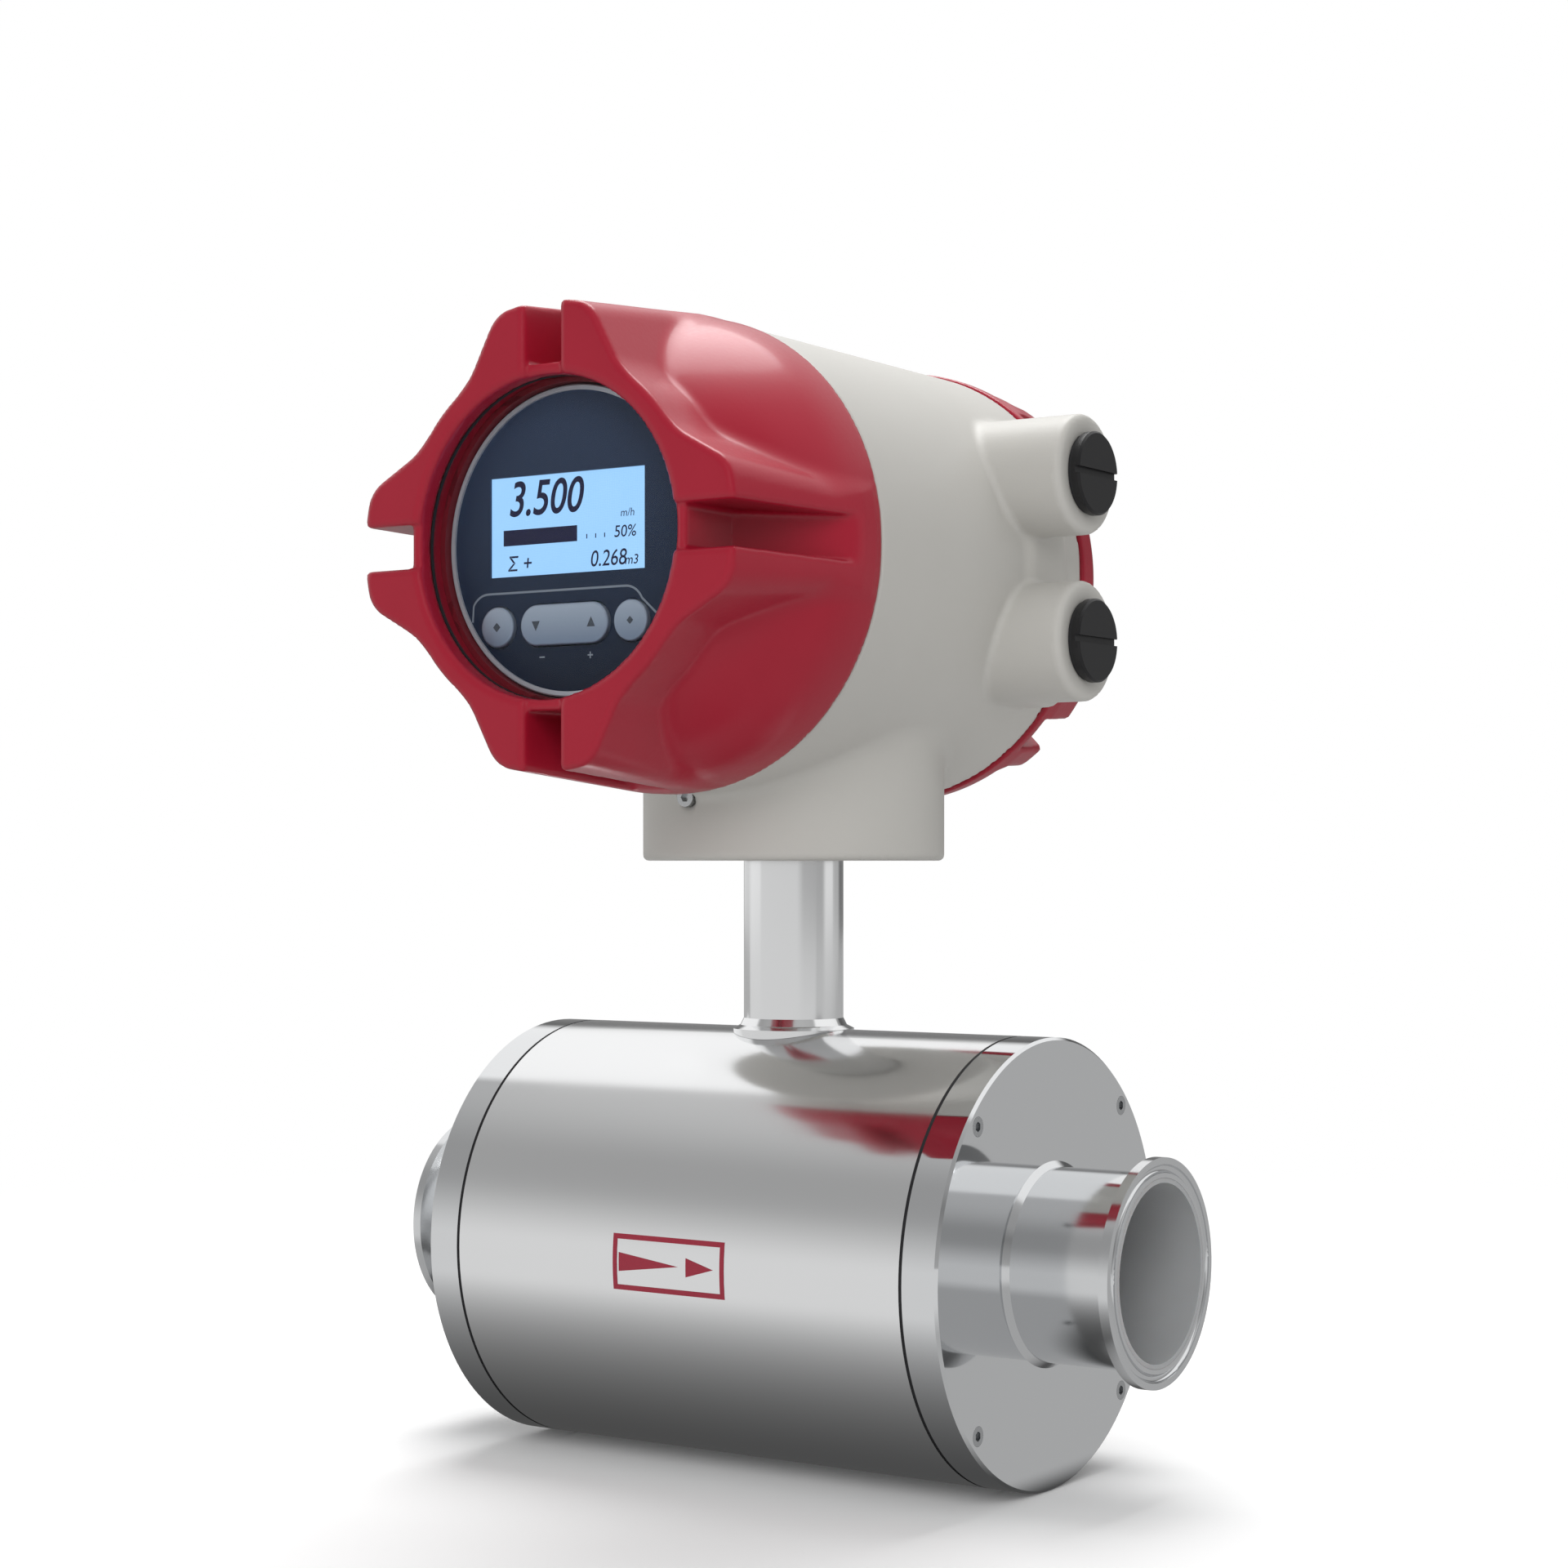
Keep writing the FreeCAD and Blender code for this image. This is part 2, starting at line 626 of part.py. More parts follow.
# ---------------------------------------------------------------------------------------
# Screwed covers.  Made with the joint face at z = 0 and the outer face at z = length.
# ---------------------------------------------------------------------------------------
CoverForm = namedtuple("CoverForm", "length band crown_r flare_end bulge lug_r "
                       "floor_r level ramp_end straight neck_r neck room_r")
FRONT_FORM = CoverForm(COVER_L, RIM_BAND, CROWN_R, FLARE_END, FLARE_BULGE, LUG_R,
                       SLOT_FLOOR_R, SLOT_LEVEL, SLOT_END,
                       CAVITY_STRAIGHT, CAVITY_NECK_R, CAVITY_NECK, WINDOW_SEAT_R)
REAR_FORM = CoverForm(REAR_L, REAR_BAND, REAR_CROWN_R, REAR_FLARE_END, REAR_BULGE, REAR_LUG_R,
                      REAR_SLOT_FLOOR_R, REAR_SLOT_LEVEL, REAR_SLOT_END,
                      REAR_STRAIGHT, REAR_NECK_R, REAR_NECK, REAR_ROOM_R)


def cover_flare(form):
    """Turned body: rim band, bulged flare down to the crown, crown up to the face."""
    across = RIM_R - form.crown_r
    along = form.flare_end - form.band
    bulge = V(along, 0, across) * (form.bulge / math.hypot(across, along))
    middle = V((RIM_R + form.crown_r) / 2, 0, (form.band + form.flare_end) / 2)
    rim = V(RIM_R, 0, form.band)
    crown = V(form.crown_r, 0, form.flare_end)
    arc = Part.Arc(rim, middle + bulge, crown).toShape()
    path = [crown, V(form.crown_r, 0, form.length), V(0, 0, form.length), V(0, 0, RIM_GAP),
            V(RIM_R - PLATE_CHAMFER, 0, RIM_GAP), V(RIM_R, 0, RIM_GAP + PLATE_CHAMFER), rim]
    lines = [Part.makeLine(a, b) for a, b in zip(path, path[1:])]
    return Part.Face(Part.Wire([arc] + lines)).revolve(V(0, 0, 0), Z_AXIS, 360)


def cover_lugs(form):
    """The grip lugs, trimmed by the cone that they share with the rim."""
    tip_y = math.sqrt(form.lug_r ** 2 - LUG_HALF ** 2)
    beyond = (RIM_R - LUG_ROOT_R) / (tip_y - LUG_ROOT_R)
    end_x = LUG_ROOT_HALF + (LUG_HALF - LUG_ROOT_HALF) * beyond
    outline = [(0, 0), (LUG_ROOT_HALF, LUG_ROOT_R), (end_x, RIM_R),
               (-end_x, RIM_R), (-LUG_ROOT_HALF, LUG_ROOT_R), (0, 0)]
    low = RIM_GAP + form.band / 2
    face = Part.Face(Part.makePolygon([V(x, y, low) for x, y in outline]))
    lug = face.extrude(V(0, 0, form.length - low))
    cone = turned([(0, RIM_GAP), (RIM_R, RIM_GAP), (RIM_R, form.band),
                   (form.lug_r, form.length), (0, form.length)])
    lug = lug.common(cone)
    corners = [e for e in lug.Edges if is_lug_corner(e, form)]
    return spun(lug.makeFillet(LUG_EDGE, corners), LUGS)


def is_lug_corner(edge, form):
    """Long edges at the outer corners of a lug, which run from face to rim."""
    lowest = min(v.Z for v in edge.Vertexes)
    highest = max(v.Z for v in edge.Vertexes)
    long_edge = highest - lowest > (form.length - form.band) / 2
    return long_edge and edge.CenterOfMass.y > (LUG_ROOT_R + form.lug_r) / 2


def lug_slots(form):
    """Key slots through the lugs: level floor, then a ramp that runs out at the rim."""
    half = SLOT_W / 2
    above = form.length + 1
    beyond = RIM_R + LUG_EDGE + 1
    profile = [(form.floor_r, above), (form.floor_r, form.level), (RIM_R, form.ramp_end),
               (beyond, form.ramp_end), (beyond, above), (form.floor_r, above)]
    slot = Part.Face(Part.makePolygon([V(-half, r, h) for r, h in profile])).extrude(V(SLOT_W, 0, 0))
    channel = block((-half, half), (WINDOW_R - 5, form.floor_r + 1),
                    (form.length - CHANNEL_DEPTH, above))
    return spun(slot.fuse(channel), LUGS)


def cover_skirt():
    """Threaded skirt with the O-ring groove at its root."""
    outer = HOUSING_BORE_R - FIT
    inner = outer - SKIRT_WALL
    floor = outer - 2 * ORING_R - 2 * FIT
    top = -ORING_SET + ORING_R + FIT
    bottom = -ORING_SET - ORING_R - FIT
    return turned([
        (inner, -SKIRT), (outer, -SKIRT), (outer, bottom), (floor, bottom), (floor, top),
        (outer, top), (outer, RIM_GAP + 1), (inner, RIM_GAP + 1)])


def cover_cavity(form, top):
    """Room inside a cover, up to a given height."""
    inner = HOUSING_BORE_R - FIT - SKIRT_WALL
    return turned([
        (0, -SKIRT - 1), (inner, -SKIRT - 1), (inner, form.straight), (form.neck_r, form.neck),
        (form.room_r, form.neck + 1), (form.room_r, top), (0, top)])


def cover_casting(form, cavity_top):
    body = cover_flare(form).fuse(cover_lugs(form) + [cover_skirt()])
    return body.cut(lug_slots(form)).cut(cover_cavity(form, cavity_top))


def front_cover():
    """Front cover with the window opening."""
    body = cover_casting(FRONT_FORM, GLASS_SEAT)
    opening = turned([
        (0, GLASS_SEAT - 1), (WINDOW_R, GLASS_SEAT - 1), (WINDOW_R, COVER_L - WINDOW_CHAMFER),
        (WINDOW_R + 2 * WINDOW_CHAMFER, COVER_L + WINDOW_CHAMFER), (0, COVER_L + WINDOW_CHAMFER)])
    return to_front(body.cut(opening).removeSplitter())


def rear_cover():
    """Shallow blank cap with a round recess in its face."""
    body = cover_casting(REAR_FORM, REAR_L - REAR_WALL)
    recess = cylinder(REAR_RECESS_R, REAR_L - REAR_RECESS, REAR_L + 1)
    return to_rear(body.cut(recess).removeSplitter())


def to_front(shape):
    """From the cover's own frame to the front of the housing."""
    shape = laid_along(shape, V(0, -1, 0))
    return shape.translated(V(0, -HOUSING_HALF, AXIS_Z))


def to_rear(shape):
    """From the cover's own frame to the rear of the housing."""
    shape = laid_along(shape, Y_AXIS)
    shape.rotate(V(0, 0, 0), Y_AXIS, REAR_SPIN)
    return shape.translated(V(0, HOUSING_HALF, AXIS_Z))


def cover_oring():
    centre_r = HOUSING_BORE_R - 2 * FIT - ORING_R
    return Part.makeTorus(centre_r, ORING_R, V(0, 0, -ORING_SET), Z_AXIS)


# ---------------------------------------------------------------------------------------
# Window, in the cover's frame
# ---------------------------------------------------------------------------------------
def window_seal():
    return ring(WINDOW_R, WINDOW_SEAT_R - FIT, GLASS_SEAT - WINDOW_SEAL, GLASS_SEAT)


def window_glass():
    top = GLASS_SEAT - WINDOW_SEAL
    return cylinder(WINDOW_SEAT_R - FIT, top - GLASS_T, top)


def window_retainer():
    top = GLASS_SEAT - WINDOW_SEAL - GLASS_T
    outer = WINDOW_SEAT_R - FIT
    retainer = ring(outer - RETAINER_WALL, outer, top - RETAINER_L, top)
    notch = block((-outer, outer), (-SWITCH_W / 4, SWITCH_W / 4), (top - RETAINER_L - 1, top - RETAINER_L + 1.5))
    return retainer.cut(notch)


# ---------------------------------------------------------------------------------------
# Display stack, in the cover's frame (heights are distances in front of the joint face)
# ---------------------------------------------------------------------------------------
def pill(half_length, radius, start, end, centre_x, centre_y):
    """Prism with round ends, long side along x."""
    reach = half_length - radius
    body = block((centre_x - reach, centre_x + reach), (centre_y - radius, centre_y + radius), (start, end))
    ends = [cylinder(radius, start, end, Z_AXIS, V(centre_x + side * reach, centre_y, 0))
            for side in (-1, 1)]
    return body.fuse(ends).removeSplitter()


def display_panel():
    panel = cylinder(PANEL_R, PANEL_BACK, PANEL_FACE)
    half_w = LCD_W / 2
    half_h = LCD_H / 2
    cuts = [block((LCD_X - half_w, LCD_X + half_w), (LCD_Z - half_h, LCD_Z + half_h),
                  (PANEL_BACK - 1, PANEL_FACE + 1))]
    for x in KEY_X:
        cuts.append(cylinder(KEY_R + SLACK, PANEL_BACK - 1, PANEL_FACE + 1, Z_AXIS, V(x, KEY_Z, 0)))
    cuts.append(pill(ROCKER_HALF + SLACK, KEY_R + SLACK, PANEL_BACK - 1, PANEL_FACE + 1, ROCKER_X, KEY_Z))
    return panel.cut(cuts)


def bezel_ring():
    front = PANEL_FACE + BEZEL_LIP
    return turned([
        (BEZEL_LIP_R, PANEL_FACE), (BEZEL_LIP_R, front), (BEZEL_R - BEZEL_LIP / 2, front),
        (BEZEL_R, front - BEZEL_LIP / 2), (BEZEL_R, front - BEZEL_L),
        (CARRIER_R + FIT, front - BEZEL_L), (CARRIER_R + FIT, PANEL_FACE)])


def display_carrier():
    """Moulded cup that holds the display on the posts."""
    back = PANEL_BACK - CARRIER_L
    cup = cylinder(CARRIER_R, back, PANEL_BACK)
    room = cylinder(CARRIER_R - CARRIER_WALL, back + CARRIER_FLOOR, PANEL_BACK + 1)
    passage = cylinder(CARRIER_R / 3, back - 1, back + CARRIER_FLOOR + 1)
    cup = cup.cut([room, passage])
    shelf = ring(DISPLAY_BOARD_R - 2 * CARRIER_WALL, CARRIER_R - CARRIER_WALL / 2,
                 back + CARRIER_FLOOR - 1, display_board_back())
    holes = [cylinder(M3_R, back - 1, back + CARRIER_FLOOR + 1, Z_AXIS, V(*polar(POST_PITCH_R, a), 0))
             for a in (45, 135, 225, 315)]
    return cup.fuse(shelf).cut(holes).removeSplitter()


def lcd_back():
    return PANEL_FACE - LCD_SET - LCD_T


def display_board_back():
    return lcd_back() - BOARD_T


def display_board():
    return cylinder(DISPLAY_BOARD_R, display_board_back(), lcd_back())


def lcd_module():
    """LCD in its frame: the screen stands up into the panel window."""
    half_w = LCD_W / 2
    half_h = LCD_H / 2
    screen = block((LCD_X - half_w + FIT, LCD_X + half_w - FIT), (LCD_Z - half_h + FIT, LCD_Z + half_h - FIT),
                   (lcd_back(), PANEL_FACE - LCD_SET))
    frame = block((LCD_X - half_w - LCD_FRAME, LCD_X + half_w + LCD_FRAME),
                  (LCD_Z - half_h - 1, LCD_Z + half_h + LCD_FRAME), (lcd_back(), PANEL_BACK - FIT))
    return screen.fuse(frame).removeSplitter()


def switch_top():
    return lcd_back() + SWITCH_H + PLUNGER_H


def switch_places():
    return [KEY_X[0], ROCKER_X - ROCKER_SWITCH, ROCKER_X + ROCKER_SWITCH, KEY_X[1]]


def key_switches():
    half = SWITCH_W / 2
    switches = []
    for x in switch_places():
        base = block((x - half, x + half), (KEY_Z - half, KEY_Z + half), (lcd_back(), lcd_back() + SWITCH_H))
        plunger = cylinder(PLUNGER_R, lcd_back() + SWITCH_H, switch_top(), Z_AXIS, V(x, KEY_Z, 0))
        switches.append(base.fuse(plunger).removeSplitter())
    return switches


def key_stem(x):
    low = switch_top() + KEY_TRAVEL + FIT
    return cylinder(KEY_STEM_R, low, PANEL_BACK, Z_AXIS, V(x, KEY_Z, 0))


def domed(shape, height, size):
    """Round the upper edges of a key cap."""
    rims = [e for e in shape.Edges if all(abs(v.Z - height) < 0.01 for v in e.Vertexes)]
    return shape.makeFillet(size, rims)


def round_key(x):
    """Round key: cap through the panel, flange behind it, stem to its switch."""
    front = PANEL_FACE + KEY_PROUD
    cap = domed(cylinder(KEY_R, PANEL_BACK - SLACK, front, Z_AXIS, V(x, KEY_Z, 0)), front, KEY_PROUD / 2)
    flange_r = KEY_R + KEY_FLANGE
    low = PANEL_BACK - SLACK - KEY_FLANGE_T
    flange = cylinder(flange_r, low, PANEL_BACK - SLACK, Z_AXIS, V(x, KEY_Z, 0))
    return cap.fuse([flange, key_stem(x)]).removeSplitter()


def pivot_height():
    return PANEL_BACK - ROCKER_PIN_SET


def rocker_key():
    """Wide key that rocks on a cross pin over two switches."""
    front = PANEL_FACE + KEY_PROUD
    cap = pill(ROCKER_HALF, KEY_R, PANEL_BACK - SLACK, front, ROCKER_X, KEY_Z)
    cap = domed(cap, front, KEY_PROUD / 2)
    stems = [key_stem(ROCKER_X + side * ROCKER_SWITCH) for side in (-1, 1)]
    half = KEY_STEM_R
    hub = block((ROCKER_X - half, ROCKER_X + half), (KEY_Z - half, KEY_Z + half),
                (pivot_height() - half, PANEL_BACK - SLACK))
    pin = cylinder(ROCKER_PIN_R + FIT, KEY_Z - 9, KEY_Z + 9, Y_AXIS, V(ROCKER_X, 0, pivot_height()))
    return cap.fuse(stems + [hub]).cut(pin).removeSplitter()


def rocker_pivot():
    """Cross pin of the rocker in its two-legged stand on the display board."""
    half = KEY_STEM_R
    legs = []
    for side in (-1, 1):
        near = KEY_Z + side * (half + SLACK)
        far = near + side * half
        span = (min(near, far), max(near, far))
        legs.append(block((ROCKER_X - half, ROCKER_X + half), span, (lcd_back(), pivot_height() + half)))
    reach = 2 * half + SLACK
    pin = cylinder(ROCKER_PIN_R, KEY_Z - reach, KEY_Z + reach, Y_AXIS, V(ROCKER_X, 0, pivot_height()))
    return pin.fuse(legs).removeSplitter()


# ---------------------------------------------------------------------------------------
# Boards, in the housing's frame
# ---------------------------------------------------------------------------------------
def along_y(shape_list):
    """Shapes made about Z with height = y, moved to the transmitter axis."""
    return [laid_along(s, Y_AXIS).translated(V(0, 0, AXIS_Z)) for s in shape_list]


def posts(pitch_r, start, end):
    """Four hexagonal posts between two distances along the transmitter axis."""
    post = hexagon(2 * POST_R, start, end).translated(V(pitch_r, 0, 0))
    return along_y(spun(post, 4, start=45))


def power_board_face():
    return BULKHEAD_Y - POWER_BOARD_SET


def main_board_face():
    return power_board_face() - BOARD_T - MAIN_BOARD_SET


def carrier_back_y():
    return -HOUSING_HALF - (PANEL_BACK - CARRIER_L)


def board(radius, start, end):
    return along_y([cylinder(radius, start, end)])[0]


def transformer():
    w, d, h = TRANSFORMER
    top = power_board_face() - BOARD_T
    return block((-w / 2, w / 2), (top - d, top), (AXIS_Z - h / 2, AXIS_Z + h / 2))


def terminal_board_face():
    return BULKHEAD_Y + BULKHEAD_T + TERMINAL_SET


def terminal_places():
    """(x, z) of every terminal screw on the two blocks."""
    w = TERMINAL_BLOCK[0]
    pitch = w / TERMINAL_WAYS
    xs = [-w / 2 + pitch * (k + 0.5) for k in range(TERMINAL_WAYS)]
    return [(x, AXIS_Z + side * TERMINAL_UP) for side in (-1, 1) for x in xs]


def terminal_blocks():
    w, d, h = TERMINAL_BLOCK
    face = terminal_board_face() + BOARD_T
    blocks = []
    for side in (-1, 1):
        mid = AXIS_Z + side * TERMINAL_UP
        solid = block((-w / 2, w / 2), (face, face + d), (mid - h / 2, mid + h / 2))
        for x, z in terminal_places():
            if abs(z - mid) < h:
                well = cylinder(TERMINAL_SCREW_R + FIT, face + d / 2, face + d + 1, Y_AXIS, V(x, 0, z))
                solid = solid.cut(well)
        blocks.append(solid)
    return blocks


def terminal_screws():
    w, d, h = TERMINAL_BLOCK
    low = terminal_board_face() + BOARD_T + d / 2
    screws = []
    for x, z in terminal_places():
        screw = cylinder(TERMINAL_SCREW_R, low, low + d / 3, Y_AXIS, V(x, 0, z))
        slot = block((x - 3, x + 3), (low + d / 3 - 0.8, low + d), (z - 0.4, z + 0.4))
        screws.append(screw.cut(slot))
    return screws


# ---------------------------------------------------------------------------------------
# Cable plugs
# ---------------------------------------------------------------------------------------
def cable_plug(height):
    """Slotted blanking plug with its thread in the entry bore."""
    under = ENTRY_FACE + WASHER_T + 2 * FIT
    front = under + PLUG_HEAD
    plug = turned([
        (0, under - PLUG_THREAD), (PLUG_R - 1, under - PLUG_THREAD), (PLUG_R, under - PLUG_THREAD + 1),
        (PLUG_R, under), (PLUG_HEAD_R, under), (PLUG_HEAD_R, front - PLUG_CROWN),
        (PLUG_HEAD_R - PLUG_CROWN, front), (0, front)], X_AXIS)
    slot = block((front - PLUG_SLOT_DEPTH, front + 1), (-PLUG_HEAD_R, PLUG_HEAD_R), (-PLUG_SLOT / 2, PLUG_SLOT / 2))
    return plug.cut(slot).translated(V(0, ENTRY_Y, height))


def plug_washer(height):
    low = ENTRY_FACE + FIT
    return ring(ENTRY_BORE_R + FIT, WASHER_R, low, low + WASHER_T, X_AXIS, V(0, ENTRY_Y, height))


# ---------------------------------------------------------------------------------------
# All nodes
# ---------------------------------------------------------------------------------------
def sensor_nodes():
    right_plate = end_plate()
    right_ferrule = ferrule()
    right_gasket = plate_gasket()
    front_rear = radial_pair(electrode())
    upper_pole = pole_piece()
    upper_bobbin = coil_bobbin()
    upper_coil = field_coil()
    return {
        "measuring_tube": [measuring_tube()],
        "tube_liner": [tube_liner()],
        "inlet_ferrule": [mirrored(right_ferrule, X_AXIS)],
        "outlet_ferrule": [right_ferrule],
        "inlet_end_plate": [mirrored(right_plate, X_AXIS)],
        "outlet_end_plate": [right_plate],
        "inlet_plate_gasket": [mirrored(right_gasket, X_AXIS)],
        "outlet_plate_gasket": [right_gasket],
        "end_plate_screws": plate_screws(),
        "sensor_shell": [sensor_shell()],
        "upper_pole_piece": [upper_pole],
        "lower_pole_piece": [mirrored(upper_pole, Z_AXIS)],
        "upper_coil_bobbin": [upper_bobbin],
        "lower_coil_bobbin": [mirrored(upper_bobbin, Z_AXIS)],
        "upper_field_coil": [upper_coil],
        "lower_field_coil": [mirrored(upper_coil, Z_AXIS)],
        "yoke_band": [yoke_band()],
        "yoke_screws": yoke_screws(),
        "front_electrode": [front_rear[0]],
        "rear_electrode": [front_rear[1]],
        "electrode_bosses": radial_pair(electrode_boss()),
        "electrode_insulators": radial_pair(electrode_insulator()),
        "electrode_disc_springs": radial_pair(electrode_spring()),
        "electrode_nuts": radial_pair(electrode_nut()),
        "neck_tube": [neck_tube()],
        "neck_seal": [neck_seal()],
        "neck_locknut": [neck_locknut()],
    }


def transmitter_nodes():
    power = power_board_face()
    main = main_board_face()
    terminal = terminal_board_face()
    bulkhead_back = BULKHEAD_Y + BULKHEAD_T
    spacers = posts(SPACER_PITCH_R, power, BULKHEAD_Y) + posts(SPACER_PITCH_R, main, power - BOARD_T)
    nodes = {
        "transmitter_housing": [transmitter_housing()],
        "cover_lock_screws": cover_lock_screws(),
        "front_cover": [front_cover()],
        "front_cover_oring": [to_front(cover_oring())],
        "window_seal": [to_front(window_seal())],
        "window_glass": [to_front(window_glass())],
        "window_retaining_ring": [to_front(window_retainer())],
        "rear_cover": [rear_cover()],
        "rear_cover_oring": [to_rear(cover_oring())],
        "display_bezel_ring": [to_front(bezel_ring())],
        "display_panel": [to_front(display_panel())],
        "lcd_module": [to_front(lcd_module())],
        "display_board": [to_front(display_board())],
        "display_carrier": [to_front(display_carrier())],
        "key_switches": [to_front(s) for s in key_switches()],
        "left_key": [to_front(round_key(KEY_X[0]))],
        "right_key": [to_front(round_key(KEY_X[1]))],
        "rocker_key": [to_front(rocker_key())],
        "rocker_pivot": [to_front(rocker_pivot())],
        "power_board": [board(MAIN_BOARD_R, power - BOARD_T, power)],
        "main_board": [board(MAIN_BOARD_R, main - BOARD_T, main)],
        "board_spacers": spacers,
        "mains_transformer": [transformer()],
        "display_posts": posts(POST_PITCH_R, carrier_back_y(), main - BOARD_T),
        "terminal_board": [board(TERMINAL_BOARD_R, terminal, terminal + BOARD_T)],
        "terminal_spacers": posts(SPACER_PITCH_R, bulkhead_back, terminal),
        "terminal_blocks": terminal_blocks(),
        "terminal_screws": terminal_screws(),
    }
    for name, height in zip(("upper", "lower"), ENTRY_HEIGHTS):
        nodes[name + "_cable_plug"] = [cable_plug(height)]
        nodes[name + "_plug_washer"] = [plug_washer(height)]
    return nodes


def write_parts():
    os.makedirs("parts", exist_ok=True)
    for build in (sensor_nodes, transmitter_nodes):
        for name, solids in build().items():
            whole = solids[0] if len(solids) == 1 else Part.makeCompound(solids)
            whole.exportStep("parts/" + name + ".step")
            print(name, len(whole.Solids), "solids", round(whole.Volume), "mm3", whole.isValid())


write_parts()
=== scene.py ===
import math

import bmesh
import bpy
import numpy as np
from mathutils import Matrix, Vector


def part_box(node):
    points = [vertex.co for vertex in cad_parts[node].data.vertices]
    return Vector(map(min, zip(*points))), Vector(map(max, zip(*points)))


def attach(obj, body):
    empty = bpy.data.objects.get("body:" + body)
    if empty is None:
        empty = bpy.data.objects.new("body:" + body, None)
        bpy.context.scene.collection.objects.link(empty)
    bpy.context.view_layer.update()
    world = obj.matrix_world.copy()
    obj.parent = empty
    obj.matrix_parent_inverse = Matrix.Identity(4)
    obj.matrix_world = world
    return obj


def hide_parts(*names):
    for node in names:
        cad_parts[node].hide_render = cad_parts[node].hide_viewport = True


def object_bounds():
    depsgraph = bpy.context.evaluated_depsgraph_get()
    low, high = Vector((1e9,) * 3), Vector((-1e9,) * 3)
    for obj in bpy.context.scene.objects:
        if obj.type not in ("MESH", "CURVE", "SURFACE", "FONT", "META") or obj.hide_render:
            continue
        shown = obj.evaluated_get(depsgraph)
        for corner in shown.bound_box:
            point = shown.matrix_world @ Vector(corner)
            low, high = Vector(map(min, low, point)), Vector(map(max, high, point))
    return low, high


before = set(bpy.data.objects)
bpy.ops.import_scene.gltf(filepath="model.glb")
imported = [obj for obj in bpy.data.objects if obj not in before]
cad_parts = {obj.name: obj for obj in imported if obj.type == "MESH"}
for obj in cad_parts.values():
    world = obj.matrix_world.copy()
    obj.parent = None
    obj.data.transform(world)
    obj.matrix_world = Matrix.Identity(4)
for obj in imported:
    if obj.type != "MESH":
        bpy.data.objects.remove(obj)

for leftover in ("Cube", "Light", "Camera"):
    if leftover in bpy.data.objects:
        bpy.data.objects.remove(bpy.data.objects[leftover])
cad_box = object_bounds()
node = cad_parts
MM = 0.001


# ---------------------------------------------------------------------------------------
# Flow tube.  A fluoropolymer liner pulled through a thin steel pipe, with a clamp ferrule
# welded on at each end and polished together with it.
class Signal:
    """A socket in a material; arithmetic on it adds the Math nodes."""

    def __init__(self, finish, socket):
        self.finish = finish
        self.socket = socket

    def __add__(self, other):
        return self.finish.maths("ADD", self, other)

    def __sub__(self, other):
        return self.finish.maths("SUBTRACT", self, other)

    def __rsub__(self, other):
        return self.finish.maths("SUBTRACT", other, self)

    def __mul__(self, other):
        return self.finish.maths("MULTIPLY", self, other)

    def __gt__(self, other):
        return self.finish.maths("GREATER_THAN", self, other)

    def __abs__(self):
        return self.finish.maths("ABSOLUTE", self)

    __radd__ = __add__
    __rmul__ = __mul__


class Finish:
    """A surface finish: one Principled shader and the nodes that feed it."""

    def __init__(self, name, values):
        self.material = bpy.data.materials.new(name)
        self.material.use_nodes = True
        self.tree = self.material.node_tree
        self.shader = self.tree.nodes["Principled BSDF"]
        self.give(values)

    def give(self, values):
        self.set(self.shader, values)

    def set(self, target, values):
        for name, value in values.items():
            socket = target.inputs[name]
            if isinstance(value, Signal):
                self.tree.links.new(value.socket, socket)
            elif socket.type == "RGBA":
                socket.default_value = (*value, 1)
            else:
                socket.default_value = value

    def node(self, kind, settings, sockets, output=0):
        """New node with its settings made first, then its sockets set or linked."""
        made = self.tree.nodes.new("ShaderNode" + kind)
        for name, value in settings.items():
            if name == "stops":
                stops = made.color_ramp.elements
                for stop, (position, colour) in zip(stops, (value[0], value[-1])):
                    stop.position, stop.color = position, (*colour, 1)
                for position, colour in value[1:-1]:
                    stops.new(position).color = (*colour, 1)
            else:
                setattr(made, name, value)
        self.set(made, sockets)
        return Signal(self, made.outputs[output])

    def maths(self, operation, *values):
        return self.node("Math", {"operation": operation}, dict(enumerate(values)))

    def place(self, stretch=(1, 1, 1)):
        """Where a point lies on the piece, stretched along its axes."""
        point = self.node("TexCoord", {}, {}, "Object")
        return self.node("VectorMath", {"operation": "MULTIPLY"}, {0: point, 1: stretch})

    def along(self, axis, stretch=(1, 1, 1)):
        """How far a point lies along one axis of the piece."""
        return self.node("SeparateXYZ", {}, {0: self.place(stretch)}, axis)

    def rise(self, low, high):
        """From 0 to 1 as a point goes up from one corner of a box to the other."""
        return self.node("MapRange", {}, {
            "Value": self.along("Z"), "From Min": low.z, "From Max": high.z})

    def run(self, value, low, high, first=0.0, last=1.0):
        """Runs smoothly from first to last as a value goes from low to high."""
        return self.node("MapRange", {"interpolation_type": "SMOOTHSTEP"}, {
            "Value": value, "From Min": low, "From Max": high, "To Min": first, "To Max": last})

    def grain(self, size, stretch=(1, 1, 1), detail=2.0):
        """Even noise from 0 to 1 whose lumps are about this large."""
        where = self.place(stretch)
        return self.node("TexNoise", {}, {"Vector": where, "Scale": 1 / size, "Detail": detail})

    def tint(self, share, first, second):
        return self.node("Mix", {"data_type": "RGBA"}, {0: share, 6: first, 7: second}, 2)

    def relief(self, height, depth):
        bump = self.node("Bump", {}, {"Height": height, "Distance": depth, "Strength": 1.0})
        self.give({"Normal": bump})

    def on(self, *pieces):
        for piece in pieces:
            piece.data.materials.clear()
            piece.data.materials.append(self.material)


